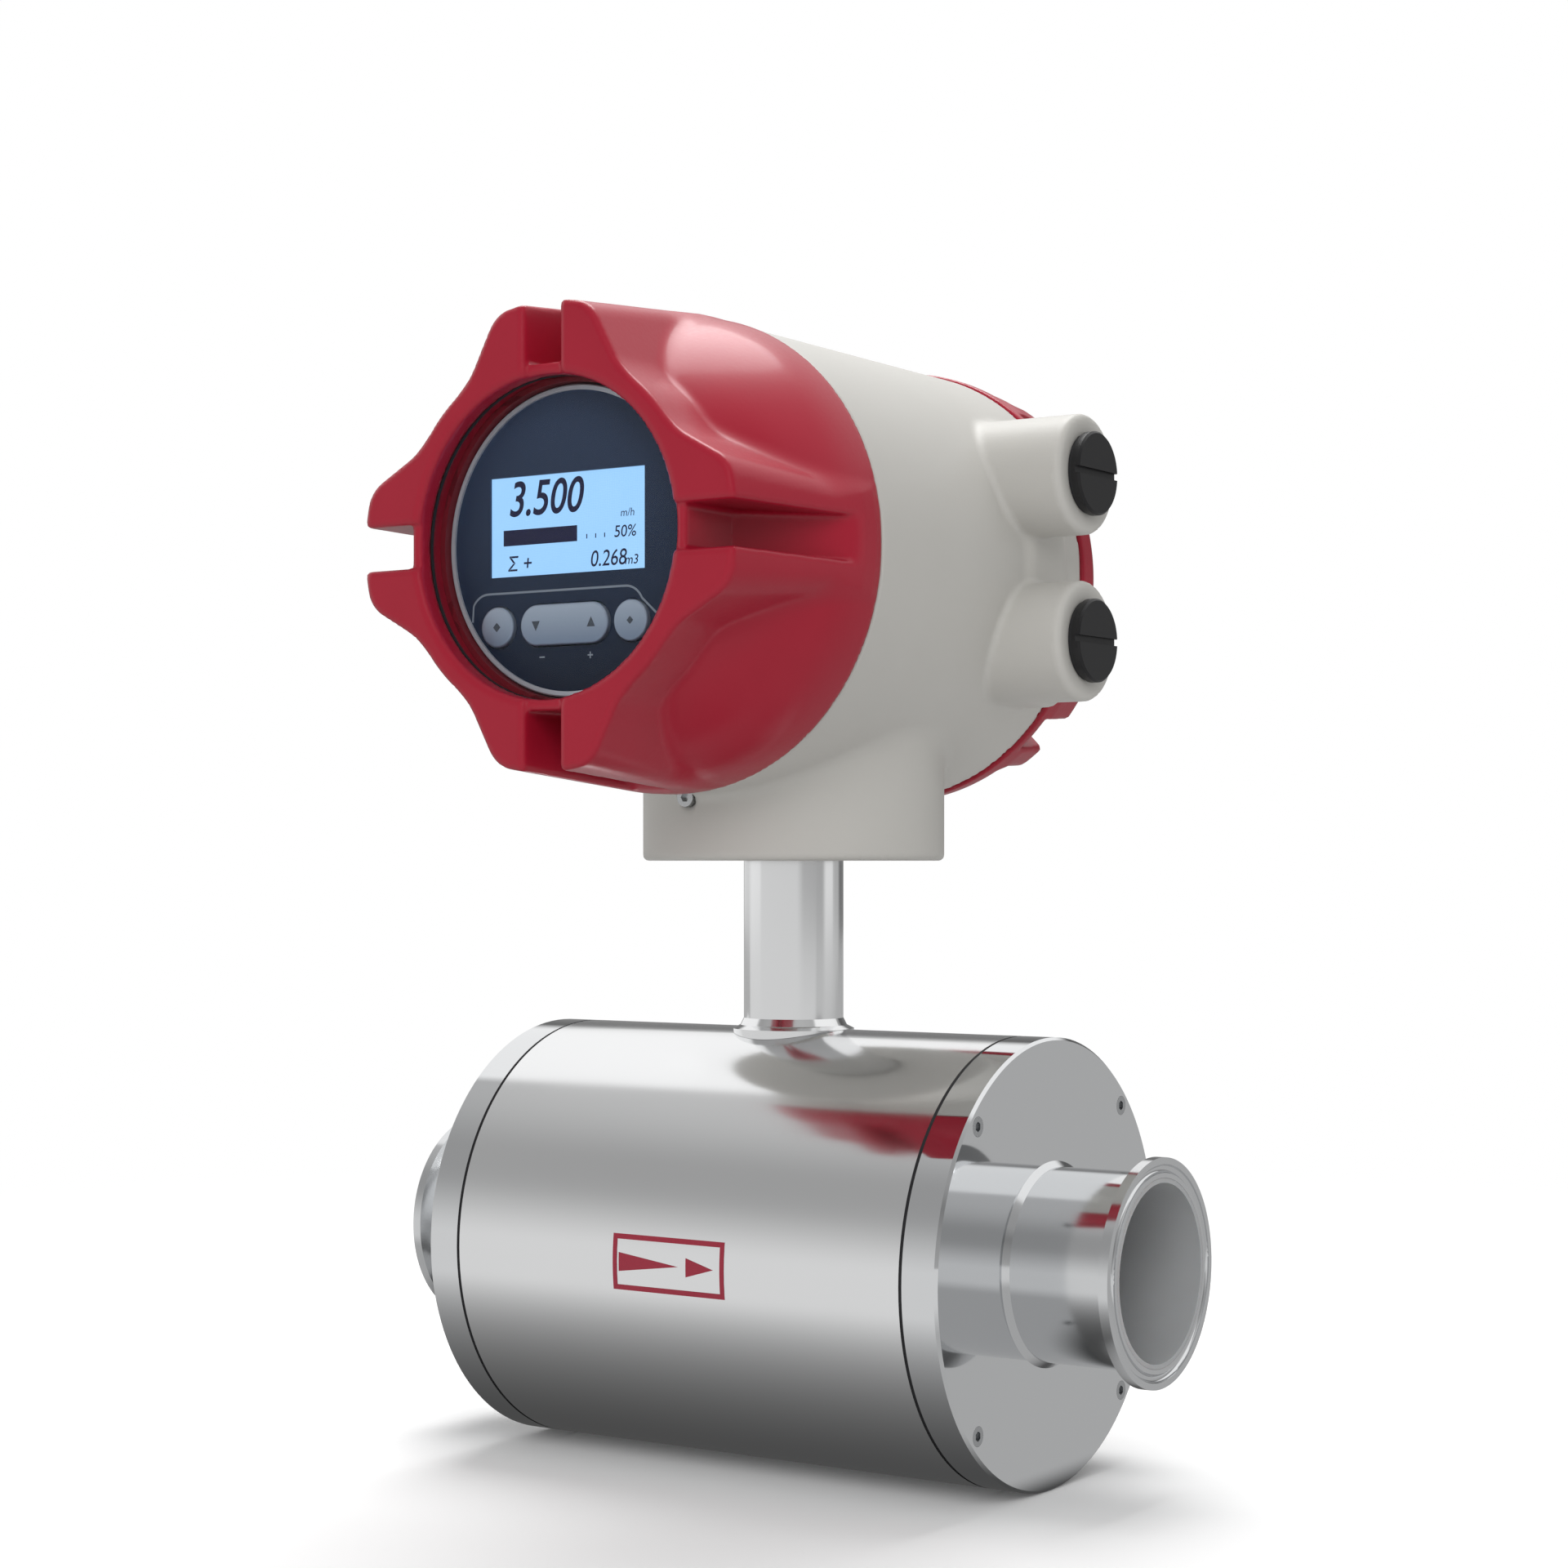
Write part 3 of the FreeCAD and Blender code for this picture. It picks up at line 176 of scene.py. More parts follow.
liner = Finish("milky fluoropolymer", {"Roughness": 0.42, "Subsurface Weight": 0.05})
haze = liner.grain(18 * MM)
liner.give({"Base Color": liner.tint(haze, (0.38, 0.38, 0.385), (0.45, 0.45, 0.455))})
liner.relief(liner.grain(0.9 * MM, (0.08, 1, 1)), 0.01 * MM)
liner.on(node["tube_liner"])

pipe_steel = Finish("drawn pipe steel", {"Base Color": (0.55, 0.56, 0.57), "Metallic": 1.0})
pipe_steel.give({"Roughness": pipe_steel.grain(0.6 * MM, (0.05, 1, 1)) * 0.2 + 0.22})
pipe_steel.on(node["measuring_tube"], node["neck_locknut"])

ferrule_steel = Finish("polished ferrule steel", {
    "Base Color": (0.74, 0.75, 0.76), "Metallic": 1.0})
turning = ferrule_steel.grain(0.25 * MM, (1, 0.04, 0.04))
ferrule_steel.give({"Roughness": ferrule_steel.grain(9 * MM) * 0.06 + 0.09})
ferrule_steel.relief(turning, 0.0012 * MM)
ferrule_steel.on(node["inlet_ferrule"], node["outlet_ferrule"])


# ---------------------------------------------------------------------------------------
# Electrodes.  Two alloy pins through the pipe wall, held by moulded insulators, disc springs
# and small hexagon nuts in bosses welded to the pipe.
electrode_alloy = Finish("ground electrode alloy", {
    "Base Color": (0.60, 0.57, 0.52), "Metallic": 1.0})
electrode_alloy.give({"Roughness": electrode_alloy.grain(0.4 * MM) * 0.15 + 0.18})
electrode_alloy.on(node["front_electrode"], node["rear_electrode"])

screw_steel = Finish("bright screw steel", {"Base Color": (0.50, 0.51, 0.52), "Metallic": 1.0})
tumbled = screw_steel.grain(0.35 * MM)
screw_steel.give({"Roughness": tumbled * 0.2 + 0.16})
screw_steel.relief(tumbled, 0.008 * MM)
screw_steel.on(node["electrode_nuts"], node["electrode_disc_springs"], node["yoke_screws"],
               node["terminal_screws"], node["cover_lock_screws"], node["end_plate_screws"])

turned_steel = Finish("turned steel", {"Base Color": (0.48, 0.49, 0.50), "Metallic": 1.0})
turned_steel.give({"Roughness": turned_steel.grain(0.5 * MM) * 0.2 + 0.24})
turned_steel.on(node["electrode_bosses"], node["display_posts"], node["board_spacers"],
                node["terminal_spacers"], node["rocker_pivot"])

natural_plastic = Finish("natural engineering plastic", {"Roughness": 0.45})
mould_marks = natural_plastic.grain(1.5 * MM)
natural_plastic.give({
    "Base Color": natural_plastic.tint(mould_marks, (0.66, 0.62, 0.50), (0.78, 0.75, 0.64))})
natural_plastic.on(node["electrode_insulators"], node["upper_coil_bobbin"],
                   node["lower_coil_bobbin"])


# ---------------------------------------------------------------------------------------
# Field coils.  Enamelled copper wound on moulded bobbins above and below the pipe, round
# lacquered pole pieces, inside a lacquered steel return band.
WIRE_PITCH = 0.5 * MM
STRAND_SINK = 0.1 * MM     # the strands' middle lies this far inside the winding
FINE_LINES = 0.1 * MM

enamelled_copper = Finish("enamelled copper", {
    "Metallic": 0.85, "Roughness": 0.28, "Coat Weight": 0.6})
# Fine wire lines: a real bump, and also a colour that darkens between the lines, which is painted
# shade in the grooves between the wires.
wire_relief_and_shade = enamelled_copper.node("TexWave", {"wave_type": "BANDS", "bands_direction": "Z"}, {
    "Vector": enamelled_copper.place(), "Scale": 1 / (2 * math.pi * FINE_LINES),
    "Distortion": 0.2}, "Fac")
enamelled_copper.give({
    "Base Color": enamelled_copper.tint(wire_relief_and_shade, (0.26, 0.07, 0.02), (0.72, 0.30, 0.12))})
enamelled_copper.relief(wire_relief_and_shade, 0.12 * MM)
enamelled_copper.on(node["upper_field_coil"], node["lower_field_coil"])


def winding_tree():
    """Node tree of a ridge that winds up round Z, with its sizes as inputs."""
    tree = bpy.data.node_groups.new("wound_ridge", "GeometryNodeTree")
    for name in ("Radius", "Pitch", "Turns", "Ridge"):
        tree.interface.new_socket(name, in_out="INPUT", socket_type="NodeSocketFloat")
    tree.interface.new_socket("Finish", in_out="INPUT", socket_type="NodeSocketMaterial")
    tree.interface.new_socket("Geometry", in_out="OUTPUT", socket_type="NodeSocketGeometry")
    given = tree.nodes.new("NodeGroupInput")
    result = tree.nodes.new("NodeGroupOutput")
    rise = tree.nodes.new("ShaderNodeMath")
    rise.operation = "MULTIPLY"
    path = tree.nodes.new("GeometryNodeCurveSpiral")
    path.inputs["Resolution"].default_value = 72
    section = tree.nodes.new("GeometryNodeCurvePrimitiveCircle")
    section.inputs["Resolution"].default_value = 6
    swept = tree.nodes.new("GeometryNodeCurveToMesh")
    swept.inputs["Fill Caps"].default_value = True
    real = tree.nodes.new("GeometryNodeRealizeInstances")
    painted = tree.nodes.new("GeometryNodeSetMaterial")
    for start, end in (
            (given.outputs["Pitch"], rise.inputs[0]), (given.outputs["Turns"], rise.inputs[1]),
            (given.outputs["Turns"], path.inputs["Rotations"]),
            (rise.outputs[0], path.inputs["Height"]),
            (given.outputs["Radius"], path.inputs["Start Radius"]),
            (given.outputs["Radius"], path.inputs["End Radius"]),
            (given.outputs["Ridge"], section.inputs["Radius"]),
            (path.outputs["Curve"], swept.inputs["Curve"]),
            (section.outputs["Curve"], swept.inputs["Profile Curve"]),
            (swept.outputs["Mesh"], real.inputs["Geometry"]),
            (real.outputs["Geometry"], painted.inputs["Geometry"]),
            (given.outputs["Finish"], painted.inputs["Material"]),
            (painted.outputs["Geometry"], result.inputs["Geometry"])):
        tree.links.new(start, end)
    return tree


wound_ridge = winding_tree()


def placed(name, data):
    """New object at the origin that holds this mesh, text, lamp or camera."""
    made = bpy.data.objects.new(name, data)
    bpy.context.scene.collection.objects.link(made)
    return made


def plain_mesh(maker):
    """Mesh of an object with its modifier or its text worked out."""
    ready = maker.evaluated_get(bpy.context.evaluated_depsgraph_get())
    return bpy.data.meshes.new_from_object(ready)


def wound(name, finish, place, **sizes):
    """Plain mesh of the wound ridge with these sizes, set in place."""
    shaper = placed(name + "_shaper", bpy.data.meshes.new(name + "_shaper"))
    modifier = shaper.modifiers.new("winding", "NODES")
    modifier.node_group = wound_ridge
    given = dict(sizes, Finish=finish.material)
    for item in wound_ridge.interface.items_tree:
        if item.in_out == "INPUT":
            modifier[item.identifier] = given[item.name]
    data = plain_mesh(shaper)
    shaper.modifiers.remove(modifier)
    bpy.data.objects.remove(shaper)
    data.transform(place)
    data.shade_smooth()
    return placed(name, data)


for side in ("upper", "lower"):
    coil_low, coil_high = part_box(side + "_field_coil")
    strand = WIRE_PITCH / 2
    winding = wound(
        side + "_coil_strands", enamelled_copper, Matrix.Translation((0, 0, coil_low.z + strand)),
        Radius=(coil_high.x - coil_low.x) / 2 - STRAND_SINK, Pitch=WIRE_PITCH,
        Turns=(coil_high.z - coil_low.z) / WIRE_PITCH - 1, Ridge=strand)
    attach(winding, "meter")

lacquered_iron = Finish("lacquered magnetic steel", {"Metallic": 0.4})
brush = lacquered_iron.grain(3 * MM)
lacquered_iron.give({
    "Base Color": lacquered_iron.tint(brush, (0.035, 0.038, 0.045), (0.07, 0.075, 0.085)),
    "Roughness": brush * 0.2 + 0.35})
lacquered_iron.on(node["upper_pole_piece"], node["lower_pole_piece"], node["yoke_band"])


# ---------------------------------------------------------------------------------------
# Sensor drum.  A rolled and polished stainless shell, closed by a thick polished plate at
# each end on a black gasket, with four sunk socket screws in each plate.
drum_steel = Finish("polished drum steel", {"Base Color": (0.88, 0.885, 0.89), "Metallic": 1.0})
buffing = drum_steel.grain(0.22 * MM, (1, 0.03, 0.03))
cloudy = drum_steel.grain(26 * MM)
drum_steel.give({"Roughness": cloudy * 0.05 + buffing * 0.05 + 0.09})
drum_steel.relief(buffing, 0.0016 * MM)
drum_steel.on(node["sensor_shell"])

plate_steel = Finish("mirror plate steel", {"Base Color": (0.78, 0.79, 0.80), "Metallic": 1.0})
plate_steel.give({"Roughness": plate_steel.grain(22 * MM) * 0.04 + 0.035})
plate_steel.relief(plate_steel.grain(14 * MM, detail=0.0), 0.004 * MM)
plate_steel.on(node["inlet_end_plate"], node["outlet_end_plate"])

black_rubber = Finish("black rubber", {
    "Base Color": (0.020, 0.020, 0.022), "Specular IOR Level": 0.4})
dusty = black_rubber.grain(2.5 * MM)
black_rubber.give({"Roughness": dusty * 0.2 + 0.5})
black_rubber.relief(black_rubber.grain(0.3 * MM), 0.02 * MM)
black_rubber.on(node["inlet_plate_gasket"], node["outlet_plate_gasket"], node["neck_seal"],
                node["front_cover_oring"], node["rear_cover_oring"], node["window_seal"],
                node["upper_plug_washer"], node["lower_plug_washer"])


# ---------------------------------------------------------------------------------------
# Flow mark.  A red frame with an arrow in it, screen printed on the drum below the display;
# the arrow points the way the liquid runs.
drum_low, drum_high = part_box("sensor_shell")
DRUM_R = (drum_high.y - drum_low.y) / 2
INK = 0.04 * MM
MARK_HALF = 19.3 * MM
MARK_HIGH = 8.0 * MM
MARK_LINE = 1.5 * MM
MARK_BEND = 0.8 * MM       # length of a flat step round the drum
ARROW_HALF = 2.7 * MM
ARROWS = ((-17.2 * MM, 3.6 * MM), (6.2 * MM, 15.6 * MM))   # tail and tip of each

print_red = Finish("printed red ink", {"Roughness": 0.38})
pinholes = print_red.grain(0.5 * MM)
print_red.give({
    "Base Color": print_red.tint(pinholes, (0.29, 0.008, 0.030), (0.35, 0.016, 0.040))})


def bar(x0, x1, z0, z1):
    """Corners of an upright rectangle."""
    return [(x0, z0), (x1, z0), (x1, z1), (x0, z1)]


def printed_mark(name, shapes):
    """Flat shapes, given along the drum and round it, laid on the drum's front."""
    mesh = bmesh.new()
    for shape in shapes:
        mesh.faces.new([mesh.verts.new((x, 0, z)) for x, z in shape])
    steps = int(2 * MARK_HIGH / MARK_BEND)
    for step in range(steps + 1):
        level = -MARK_HIGH + step * MARK_BEND
        everything = mesh.verts[:] + mesh.edges[:] + mesh.faces[:]
        bmesh.ops.bisect_plane(mesh, geom=everything, plane_co=(0, 0, level), plane_no=(0, 0, 1))
    for vertex in mesh.verts:
        turn = vertex.co.z / DRUM_R
        reach = DRUM_R + INK
        vertex.co.y, vertex.co.z = -reach * math.cos(turn), reach * math.sin(turn)
    bmesh.ops.recalc_face_normals(mesh, faces=mesh.faces[:])
    return finished_piece(name, mesh)


def finished_piece(name, mesh):
    data = bpy.data.meshes.new(name)
    mesh.to_mesh(data)
    mesh.free()
    return placed(name, data)


inner = MARK_HALF - MARK_LINE
inner_high = MARK_HIGH - MARK_LINE
frame_bars = [
    bar(-MARK_HALF, MARK_HALF, inner_high, MARK_HIGH),
    bar(-MARK_HALF, MARK_HALF, -MARK_HIGH, -inner_high),
    bar(-MARK_HALF, -inner, -inner_high, inner_high),
    bar(inner, MARK_HALF, -inner_high, inner_high)]
arrows = [[(tail, ARROW_HALF), (tail, -ARROW_HALF), (tip, 0)] for tail, tip in ARROWS]
flow_mark = printed_mark("flow_mark", frame_bars + arrows)
print_red.on(flow_mark)
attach(flow_mark, "meter")


# ---------------------------------------------------------------------------------------
# Neck.  A polished tube welded to the drum with a ground fillet; it passes up into the
# housing's base, where a seal and a lock nut hold it.
neck_steel = Finish("polished neck steel", {"Base Color": (0.83, 0.835, 0.84), "Metallic": 1.0})
drawn = neck_steel.grain(0.3 * MM, (1, 1, 0.03))
neck_steel.give({"Roughness": neck_steel.grain(20 * MM) * 0.05 + 0.10})
neck_steel.relief(drawn, 0.001 * MM)
neck_steel.on(node["neck_tube"])


# ---------------------------------------------------------------------------------------
# Transmitter housing.  One aluminium casting in warm light grey powder coat: a round case
# open at both ends, a round base boss, and a raised pad with two cable entry bosses.
case_low, case_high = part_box("transmitter_housing")
AXIS_Z = (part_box("front_cover")[0].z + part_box("front_cover")[1].z) / 2

CASE_R = 66.6 * MM
CASE_HALF = 57.0 * MM
CASE_BORE_R = 61.0 * MM
BASE_R = 45.0 * MM
BASE_LOW = case_low.z
BASE_FLOOR = 10.0 * MM
BASE_ROOM_R = 38.0 * MM
NECK_HOLE_R = 14.95 * MM
BULKHEAD = (4.0 * MM, 8.0 * MM)
WIRE_HOLE_R = 7.0 * MM
WIRE_HOLE_DROP = 35.0 * MM
ENTRY_Y = 28.0 * MM
ENTRY_UP = (26.6 * MM, -22.0 * MM)
ENTRY_R = 17.6 * MM
ENTRY_FACE = case_high.x
ENTRY_BORE_R = 10.0 * MM
PAD_FACE = 67.4 * MM
PAD_FRONT = 24.0 * MM
PAD_SLOPE = 4.0 * MM
PAD_MARGIN = 0.6 * MM
PAD_ROOT = 28.0 * MM
LOCK_SCREW_X = -7.0 * MM
LOCK_SEAT_R = 2.95 * MM
LOCK_SEAT_DEPTH = 3.2 * MM
CUT_PAST = 1.0 * MM        # a cut runs this far into the room that it opens into
HOUSING_CELL = 1.35 * MM   # distance between the mesh's points

CASE_EDGE = 0.8 * MM       # sizes of the rounded edges and of the fillets
BASE_EDGE = 2.0 * MM
BASE_FILLET = 4.0 * MM
PAD_CORNER = 6.0 * MM
PAD_SHOULDER = 8.0 * MM
PAD_EDGE = 4.0 * MM
PAD_FILLET = 3.0 * MM
BOSS_EDGE = 2.0 * MM
BOSS_FILLET = 1.8 * MM


def rounded_meet(a, b, size):
    """What two fields share, its edge rounded."""
    near = np.maximum(size - np.abs(a - b), 0) / size
    return np.maximum(a, b) + near * near * size / 4


def rounded_join(a, b, size):
    """Two fields together, with a fillet where they meet."""
    return -rounded_meet(-a, -b, size)


def line_side(x, y, start, end):
    """Distance to the right of the line from start to end."""
    run = math.hypot(end[0] - start[0], end[1] - start[1])
    across = ((end[1] - start[1]) / run, -(end[0] - start[0]) / run)
    return (x - start[0]) * across[0] + (y - start[1]) * across[1]


def entry_pad(x, y, up):
    """Field of the raised pad, whose front corners slope."""
    reach = ENTRY_R + PAD_MARGIN
    high, low, back = ENTRY_UP[0] + reach, ENTRY_UP[1] - reach, ENTRY_Y + reach
    shoulder = PAD_FRONT + PAD_SLOPE
    ends, sides = np.maximum(up - high, low - up), np.maximum(y - back, PAD_FRONT - y)
    upper_slope = -line_side(y, up, (PAD_FRONT, high - reach), (shoulder, high))
    lower_slope = line_side(y, up, (PAD_FRONT, low + reach), (shoulder, low))
    slopes = np.maximum(upper_slope, lower_slope)
    pad = rounded_meet(rounded_meet(ends, sides, PAD_CORNER), slopes, PAD_SHOULDER)
    return np.maximum(rounded_meet(pad, x - PAD_FACE, PAD_EDGE), PAD_ROOT - x)


def housing_outside(x, y, up):
    """Field of the housing's outside; up is from the covers' axis."""
    case = rounded_meet(np.hypot(x, up) - CASE_R, np.abs(y) - CASE_HALF, CASE_EDGE)
    base = rounded_meet(np.hypot(x, y) - BASE_R, BASE_LOW - AXIS_Z - up, BASE_EDGE)
    body = rounded_join(case, np.maximum(base, up), BASE_FILLET)
    body = rounded_join(body, entry_pad(x, y, up), PAD_FILLET)
    for height in ENTRY_UP:
        side = np.hypot(y - ENTRY_Y, up - height) - ENTRY_R
        boss = rounded_meet(side, x - ENTRY_FACE, BOSS_EDGE)
        body = rounded_join(body, np.maximum(boss, PAD_ROOT - x), BOSS_FILLET)
    return body


def housing_inside(x, y, up):
    """Field of the room inside the housing, with its bulkhead, neck bore and entries."""
    bore = np.hypot(x, up) - CASE_BORE_R
    slab = np.maximum(BULKHEAD[0] - y, y - BULKHEAD[1])
    wires = np.hypot(x, up + WIRE_HOLE_DROP) - WIRE_HOLE_R
    room = np.maximum(bore, -np.maximum(slab, -wires))
    low = BASE_LOW - AXIS_Z
    base_room = np.maximum(np.hypot(x, y) - BASE_ROOM_R, np.maximum(low + BASE_FLOOR - up, up))
    base_room = np.maximum(base_room, -bore - CUT_PAST)
    neck = np.maximum(np.hypot(x, y) - NECK_HOLE_R, up - low - BASE_FLOOR - CUT_PAST)
    room = np.minimum(room, np.minimum(base_room, neck))
    for height in ENTRY_UP:
        entry = np.hypot(y - ENTRY_Y, up - height) - ENTRY_BORE_R
        room = np.minimum(room, np.maximum(entry, PAD_ROOT - x))
    return room


def housing_field(x, y, z):
    """Field of the whole casting, with the two lock screws' seats."""
    up = z - AXIS_Z
    body = rounded_meet(housing_outside(x, y, up), -housing_inside(x, y, up), CASE_EDGE)
    screw_low, screw_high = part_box("cover_lock_screws")
    level = (screw_low.z + screw_high.z) / 2
    seat = np.hypot(x - LOCK_SCREW_X, z - level) - LOCK_SEAT_R
    return np.maximum(body, -np.maximum(seat, screw_high.y - LOCK_SEAT_DEPTH - np.abs(y)))


DRAWS = 4                  # times that the points are drawn onto the surface
DRAW_SHARE = 0.8           # share of the way that they go each time
PROBE = 0.02 * MM
FLATTEST = 0.3             # keeps a draw short where the field is nearly flat


def cast_skin(name, field, corners, cell):
    """Mesh of the surface on which a field is zero, with its points drawn onto that surface."""
    low, high = (Vector(c) for c in corners)
    margin = Vector((2 * cell,) * 3)
    low, high = low - margin, high + margin
    steps = [np.arange(low[i], high[i], cell) for i in range(3)]
    values = field(*np.meshgrid(*steps, indexing="ij"))
    shape = np.array(values.shape)
    cells = shape - 1
    total = np.zeros((cells.prod(), 3))
    count = np.zeros(cells.prod())
    quads = []
    for axis in range(3):
        start = np.take(values, range(shape[axis] - 1), axis)
        end = np.take(values, range(1, shape[axis]), axis)
        crossing = (start < 0) != (end < 0)
        corner = np.argwhere(crossing)
        point = corner.astype(float)
        point[:, axis] += start[crossing] / (start[crossing] - end[crossing])
        u, v = (axis + 1) % 3, (axis + 2) % 3
        around = []
        for back_u, back_v in ((1, 1), (0, 1), (0, 0), (1, 0)):
            touching = corner.copy()
            touching[:, u] -= back_u
            touching[:, v] -= back_v
            index = np.ravel_multi_index(touching.T, cells)
            np.add.at(total, index, point)
            np.add.at(count, index, 1)
            around.append(index)
        around = np.stack(around, axis=1)
        inward = start[crossing] >= 0
        around[inward] = around[inward][:, ::-1]
        quads.append(around)
    used = count > 0
    points = np.array(low) + total[used] / count[used][:, None] * cell
    order = np.cumsum(used) - 1
    faces = order[np.concatenate(quads)]
    for _ in range(DRAWS):
        here = field(*points.T)
        ahead = [field(*(points + PROBE * step).T) for step in np.eye(3)]
        slope = np.stack([(there - here) / PROBE for there in ahead], 1)
        steep = np.maximum((slope ** 2).sum(1), FLATTEST)
        move = np.clip(here / steep, -cell / 2, cell / 2)
        points -= DRAW_SHARE * slope * move[:, None]
    data = bpy.data.meshes.new(name)
    data.from_pydata(points.tolist(), [], faces.tolist())
    data.validate()
    data.shade_smooth()
    return placed(name, data)


housing = cast_skin(
    "transmitter_housing_casting", housing_field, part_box("transmitter_housing"), HOUSING_CELL)
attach(housing, "meter")
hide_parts("transmitter_housing")

powder_grey = Finish("warm grey powder coat", {"Specular IOR Level": 0.4})
pebble = powder_grey.grain(0.7 * MM, detail=3.0)
cast_cloud = powder_grey.grain(40 * MM)
powder_grey.give({
    "Base Color": powder_grey.tint(cast_cloud, (0.500, 0.489, 0.458), (0.535, 0.524, 0.495)),
    "Roughness": pebble * 0.12 + 0.42})
powder_grey.relief(pebble, 0.025 * MM)
powder_grey.on(housing)


# ---------------------------------------------------------------------------------------
# Electronics.  Round glass-fibre boards on spacers, with their terminal blocks, the mains
# transformer and the moulded display carrier.
board_green = Finish("green solder mask", {"Roughness": 0.32, "Coat Weight": 0.4})
track_map = {"feature": "DISTANCE_TO_EDGE", "distance": "EUCLIDEAN"}
tracks = board_green.node("TexVoronoi", track_map, {
    "Vector": board_green.place((1, 0.2, 1)), "Scale": 1 / (2.6 * MM)}, "Distance")
board_green.give({
    "Base Color": board_green.tint(tracks > 0.07, (0.05, 0.23, 0.10), (0.008, 0.085, 0.03))})
board_green.on(node["display_board"], node["main_board"], node["power_board"],
               node["terminal_board"])

black_plastic = Finish("black moulded plastic", {
    "Base Color": (0.011, 0.011, 0.012), "Specular IOR Level": 0.35})
eroded = black_plastic.grain(0.28 * MM)
black_plastic.give({"Roughness": eroded * 0.15 + 0.33})
black_plastic.relief(eroded, 0.012 * MM)
black_plastic.on(node["display_carrier"], node["key_switches"], node["mains_transformer"],
                 node["upper_cable_plug"], node["lower_cable_plug"])

terminal_green = Finish("green terminal plastic", {"Roughness": 0.4})
terminal_green.give({"Base Color": terminal_green.tint(
    terminal_green.grain(2 * MM), (0.02, 0.16, 0.07), (0.03, 0.22, 0.10))})
terminal_green.on(node["terminal_blocks"])


# ---------------------------------------------------------------------------------------
# Screwed covers.  Aluminium castings in gloss red: a deep flared one with the window at the
# front and a shallow blank cap at the rear.  Both have a threaded skirt, four grip lugs with
# a wrench slot through each, and edges cast soft.
RIM_GAP = 0.2 * MM
RIM_R = 67.3 * MM
LUG_HALF = 16.2 * MM
LUG_ROOT_HALF = 26.0 * MM
LUG_ROOT_R = 42.3 * MM
SLOT_HALF = 6.0 * MM
CHANNEL_DEPTH = 1.5 * MM
CHANNEL_REACH = 5.0 * MM   # the slots' channel starts this far inside the window's edge
WINDOW_R = 43.2 * MM
WINDOW_DEPTH = 6.2 * MM
WINDOW_CHAMFER = 0.9 * MM
SKIRT = 12.0 * MM
SKIRT_R = 60.95 * MM
SKIRT_WALL = 4.0 * MM
SKIRT_TOP = 2.0 * MM       # the skirt runs this far up into the cover
THREAD_DEPTH = 0.7 * MM
THREAD_PITCH = 1.5 * MM
THREAD_MIDDLE = 7.7 * MM
THREAD_HALF = 3.6 * MM
ORING_SET = 1.9 * MM
ORING_R = 1.2 * MM
REAR_WALL = 7.0 * MM
REAR_RECESS = 2.0 * MM
SKIN_CELL = 1.05 * MM

CROWN_FILLET = 1.2 * MM    # sizes of the rounded edges and of the fillet at the crown
FACE_EDGE = 1.6 * MM
SLOT_CORNER = 1.2 * MM
SLOT_EDGE = 1.6 * MM
JOINT_EDGE = 1.0 * MM
ROOM_EDGE = 0.6 * MM
WINDOW_EDGE = 1.0 * MM
RECESS_EDGE = 1.2 * MM

front_form = {
    "length": -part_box("front_cover")[0].y - CASE_HALF, "rim band": 9.0 * MM,
    "crown": 49.5 * MM, "flare end": 43.8 * MM, "flare bulge": 2.4 * MM, "flare edge": 3.0 * MM,
    "lug": 62.5 * MM, "lug edge": 3.5 * MM, "lug root": 3.0 * MM,
    "slot floor": 46.1 * MM, "slot level": 41.3 * MM, "slot end": 11.8 * MM,
    "room": 13.0 * MM, "room neck": (45.4 * MM, 40.0 * MM), "room top": 44.25 * MM}
rear_form = {
    "length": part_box("rear_cover")[1].y - CASE_HALF, "rim band": 7.5 * MM,
    "crown": 57.0 * MM, "flare end": 17.5 * MM, "flare bulge": 0.8 * MM, "flare edge": 2.0 * MM,
    "lug": 66.0 * MM, "lug edge": 2.5 * MM, "lug root": 2.0 * MM,
    "slot floor": 51.0 * MM, "slot level": 12.5 * MM, "slot end": 5.0 * MM,
    "room": 2.0 * MM, "room neck": (46.5 * MM, 12.0 * MM), "room top": 45.5 * MM}


def circle_through(a, b, c):
    """Centre and radius of the circle through three points."""
    ax, ay, bx, by, cx, cy = *a, *b, *c
    d = 2 * (ax * (by - cy) + bx * (cy - ay) + cx * (ay - by))
    sa, sb, sc = ax * ax + ay * ay, bx * bx + by * by, cx * cx + cy * cy
    x = (sa * (by - cy) + sb * (cy - ay) + sc * (ay - by)) / d
    y = (sa * (cx - bx) + sb * (ax - cx) + sc * (bx - ax)) / d
    return x, y, math.hypot(ax - x, ay - y)


def cover_flare(form, radius, height):
    """Field of the bulged flare from the rim to the crown, and of the crown."""
    crown, flare_end, band = form["crown"], form["flare end"], form["rim band"]
    inward, forward = RIM_R - crown, flare_end - band
    bulge = form["flare bulge"] / math.hypot(inward, forward)
    middle = ((RIM_R + crown) / 2 + bulge * forward, (band + flare_end) / 2 + bulge * inward)
    cx, cy, reach = circle_through((RIM_R, band), middle, (crown, flare_end))
    flare = np.hypot(radius - cx, height - cy) - reach
    flare = rounded_meet(flare, radius - RIM_R, form["flare edge"])
    return rounded_join(flare, radius - crown, CROWN_FILLET)


def cover_slots(form, side, out, height):
    """Field of the wrench slots and of the channel from each to the window's edge."""
    floor_line = (form["slot floor"], form["slot level"]), (RIM_R, form["slot end"])
    ramp = line_side(out, height, *floor_line)
    slot = np.maximum(form["slot floor"] - out, ramp)
    slot = rounded_meet(side - SLOT_HALF, slot, SLOT_CORNER)
    channel = np.maximum(side - SLOT_HALF, WINDOW_R - CHANNEL_REACH - out)
    channel = np.maximum(channel, form["length"] - CHANNEL_DEPTH - height)
    return np.minimum(slot, channel)


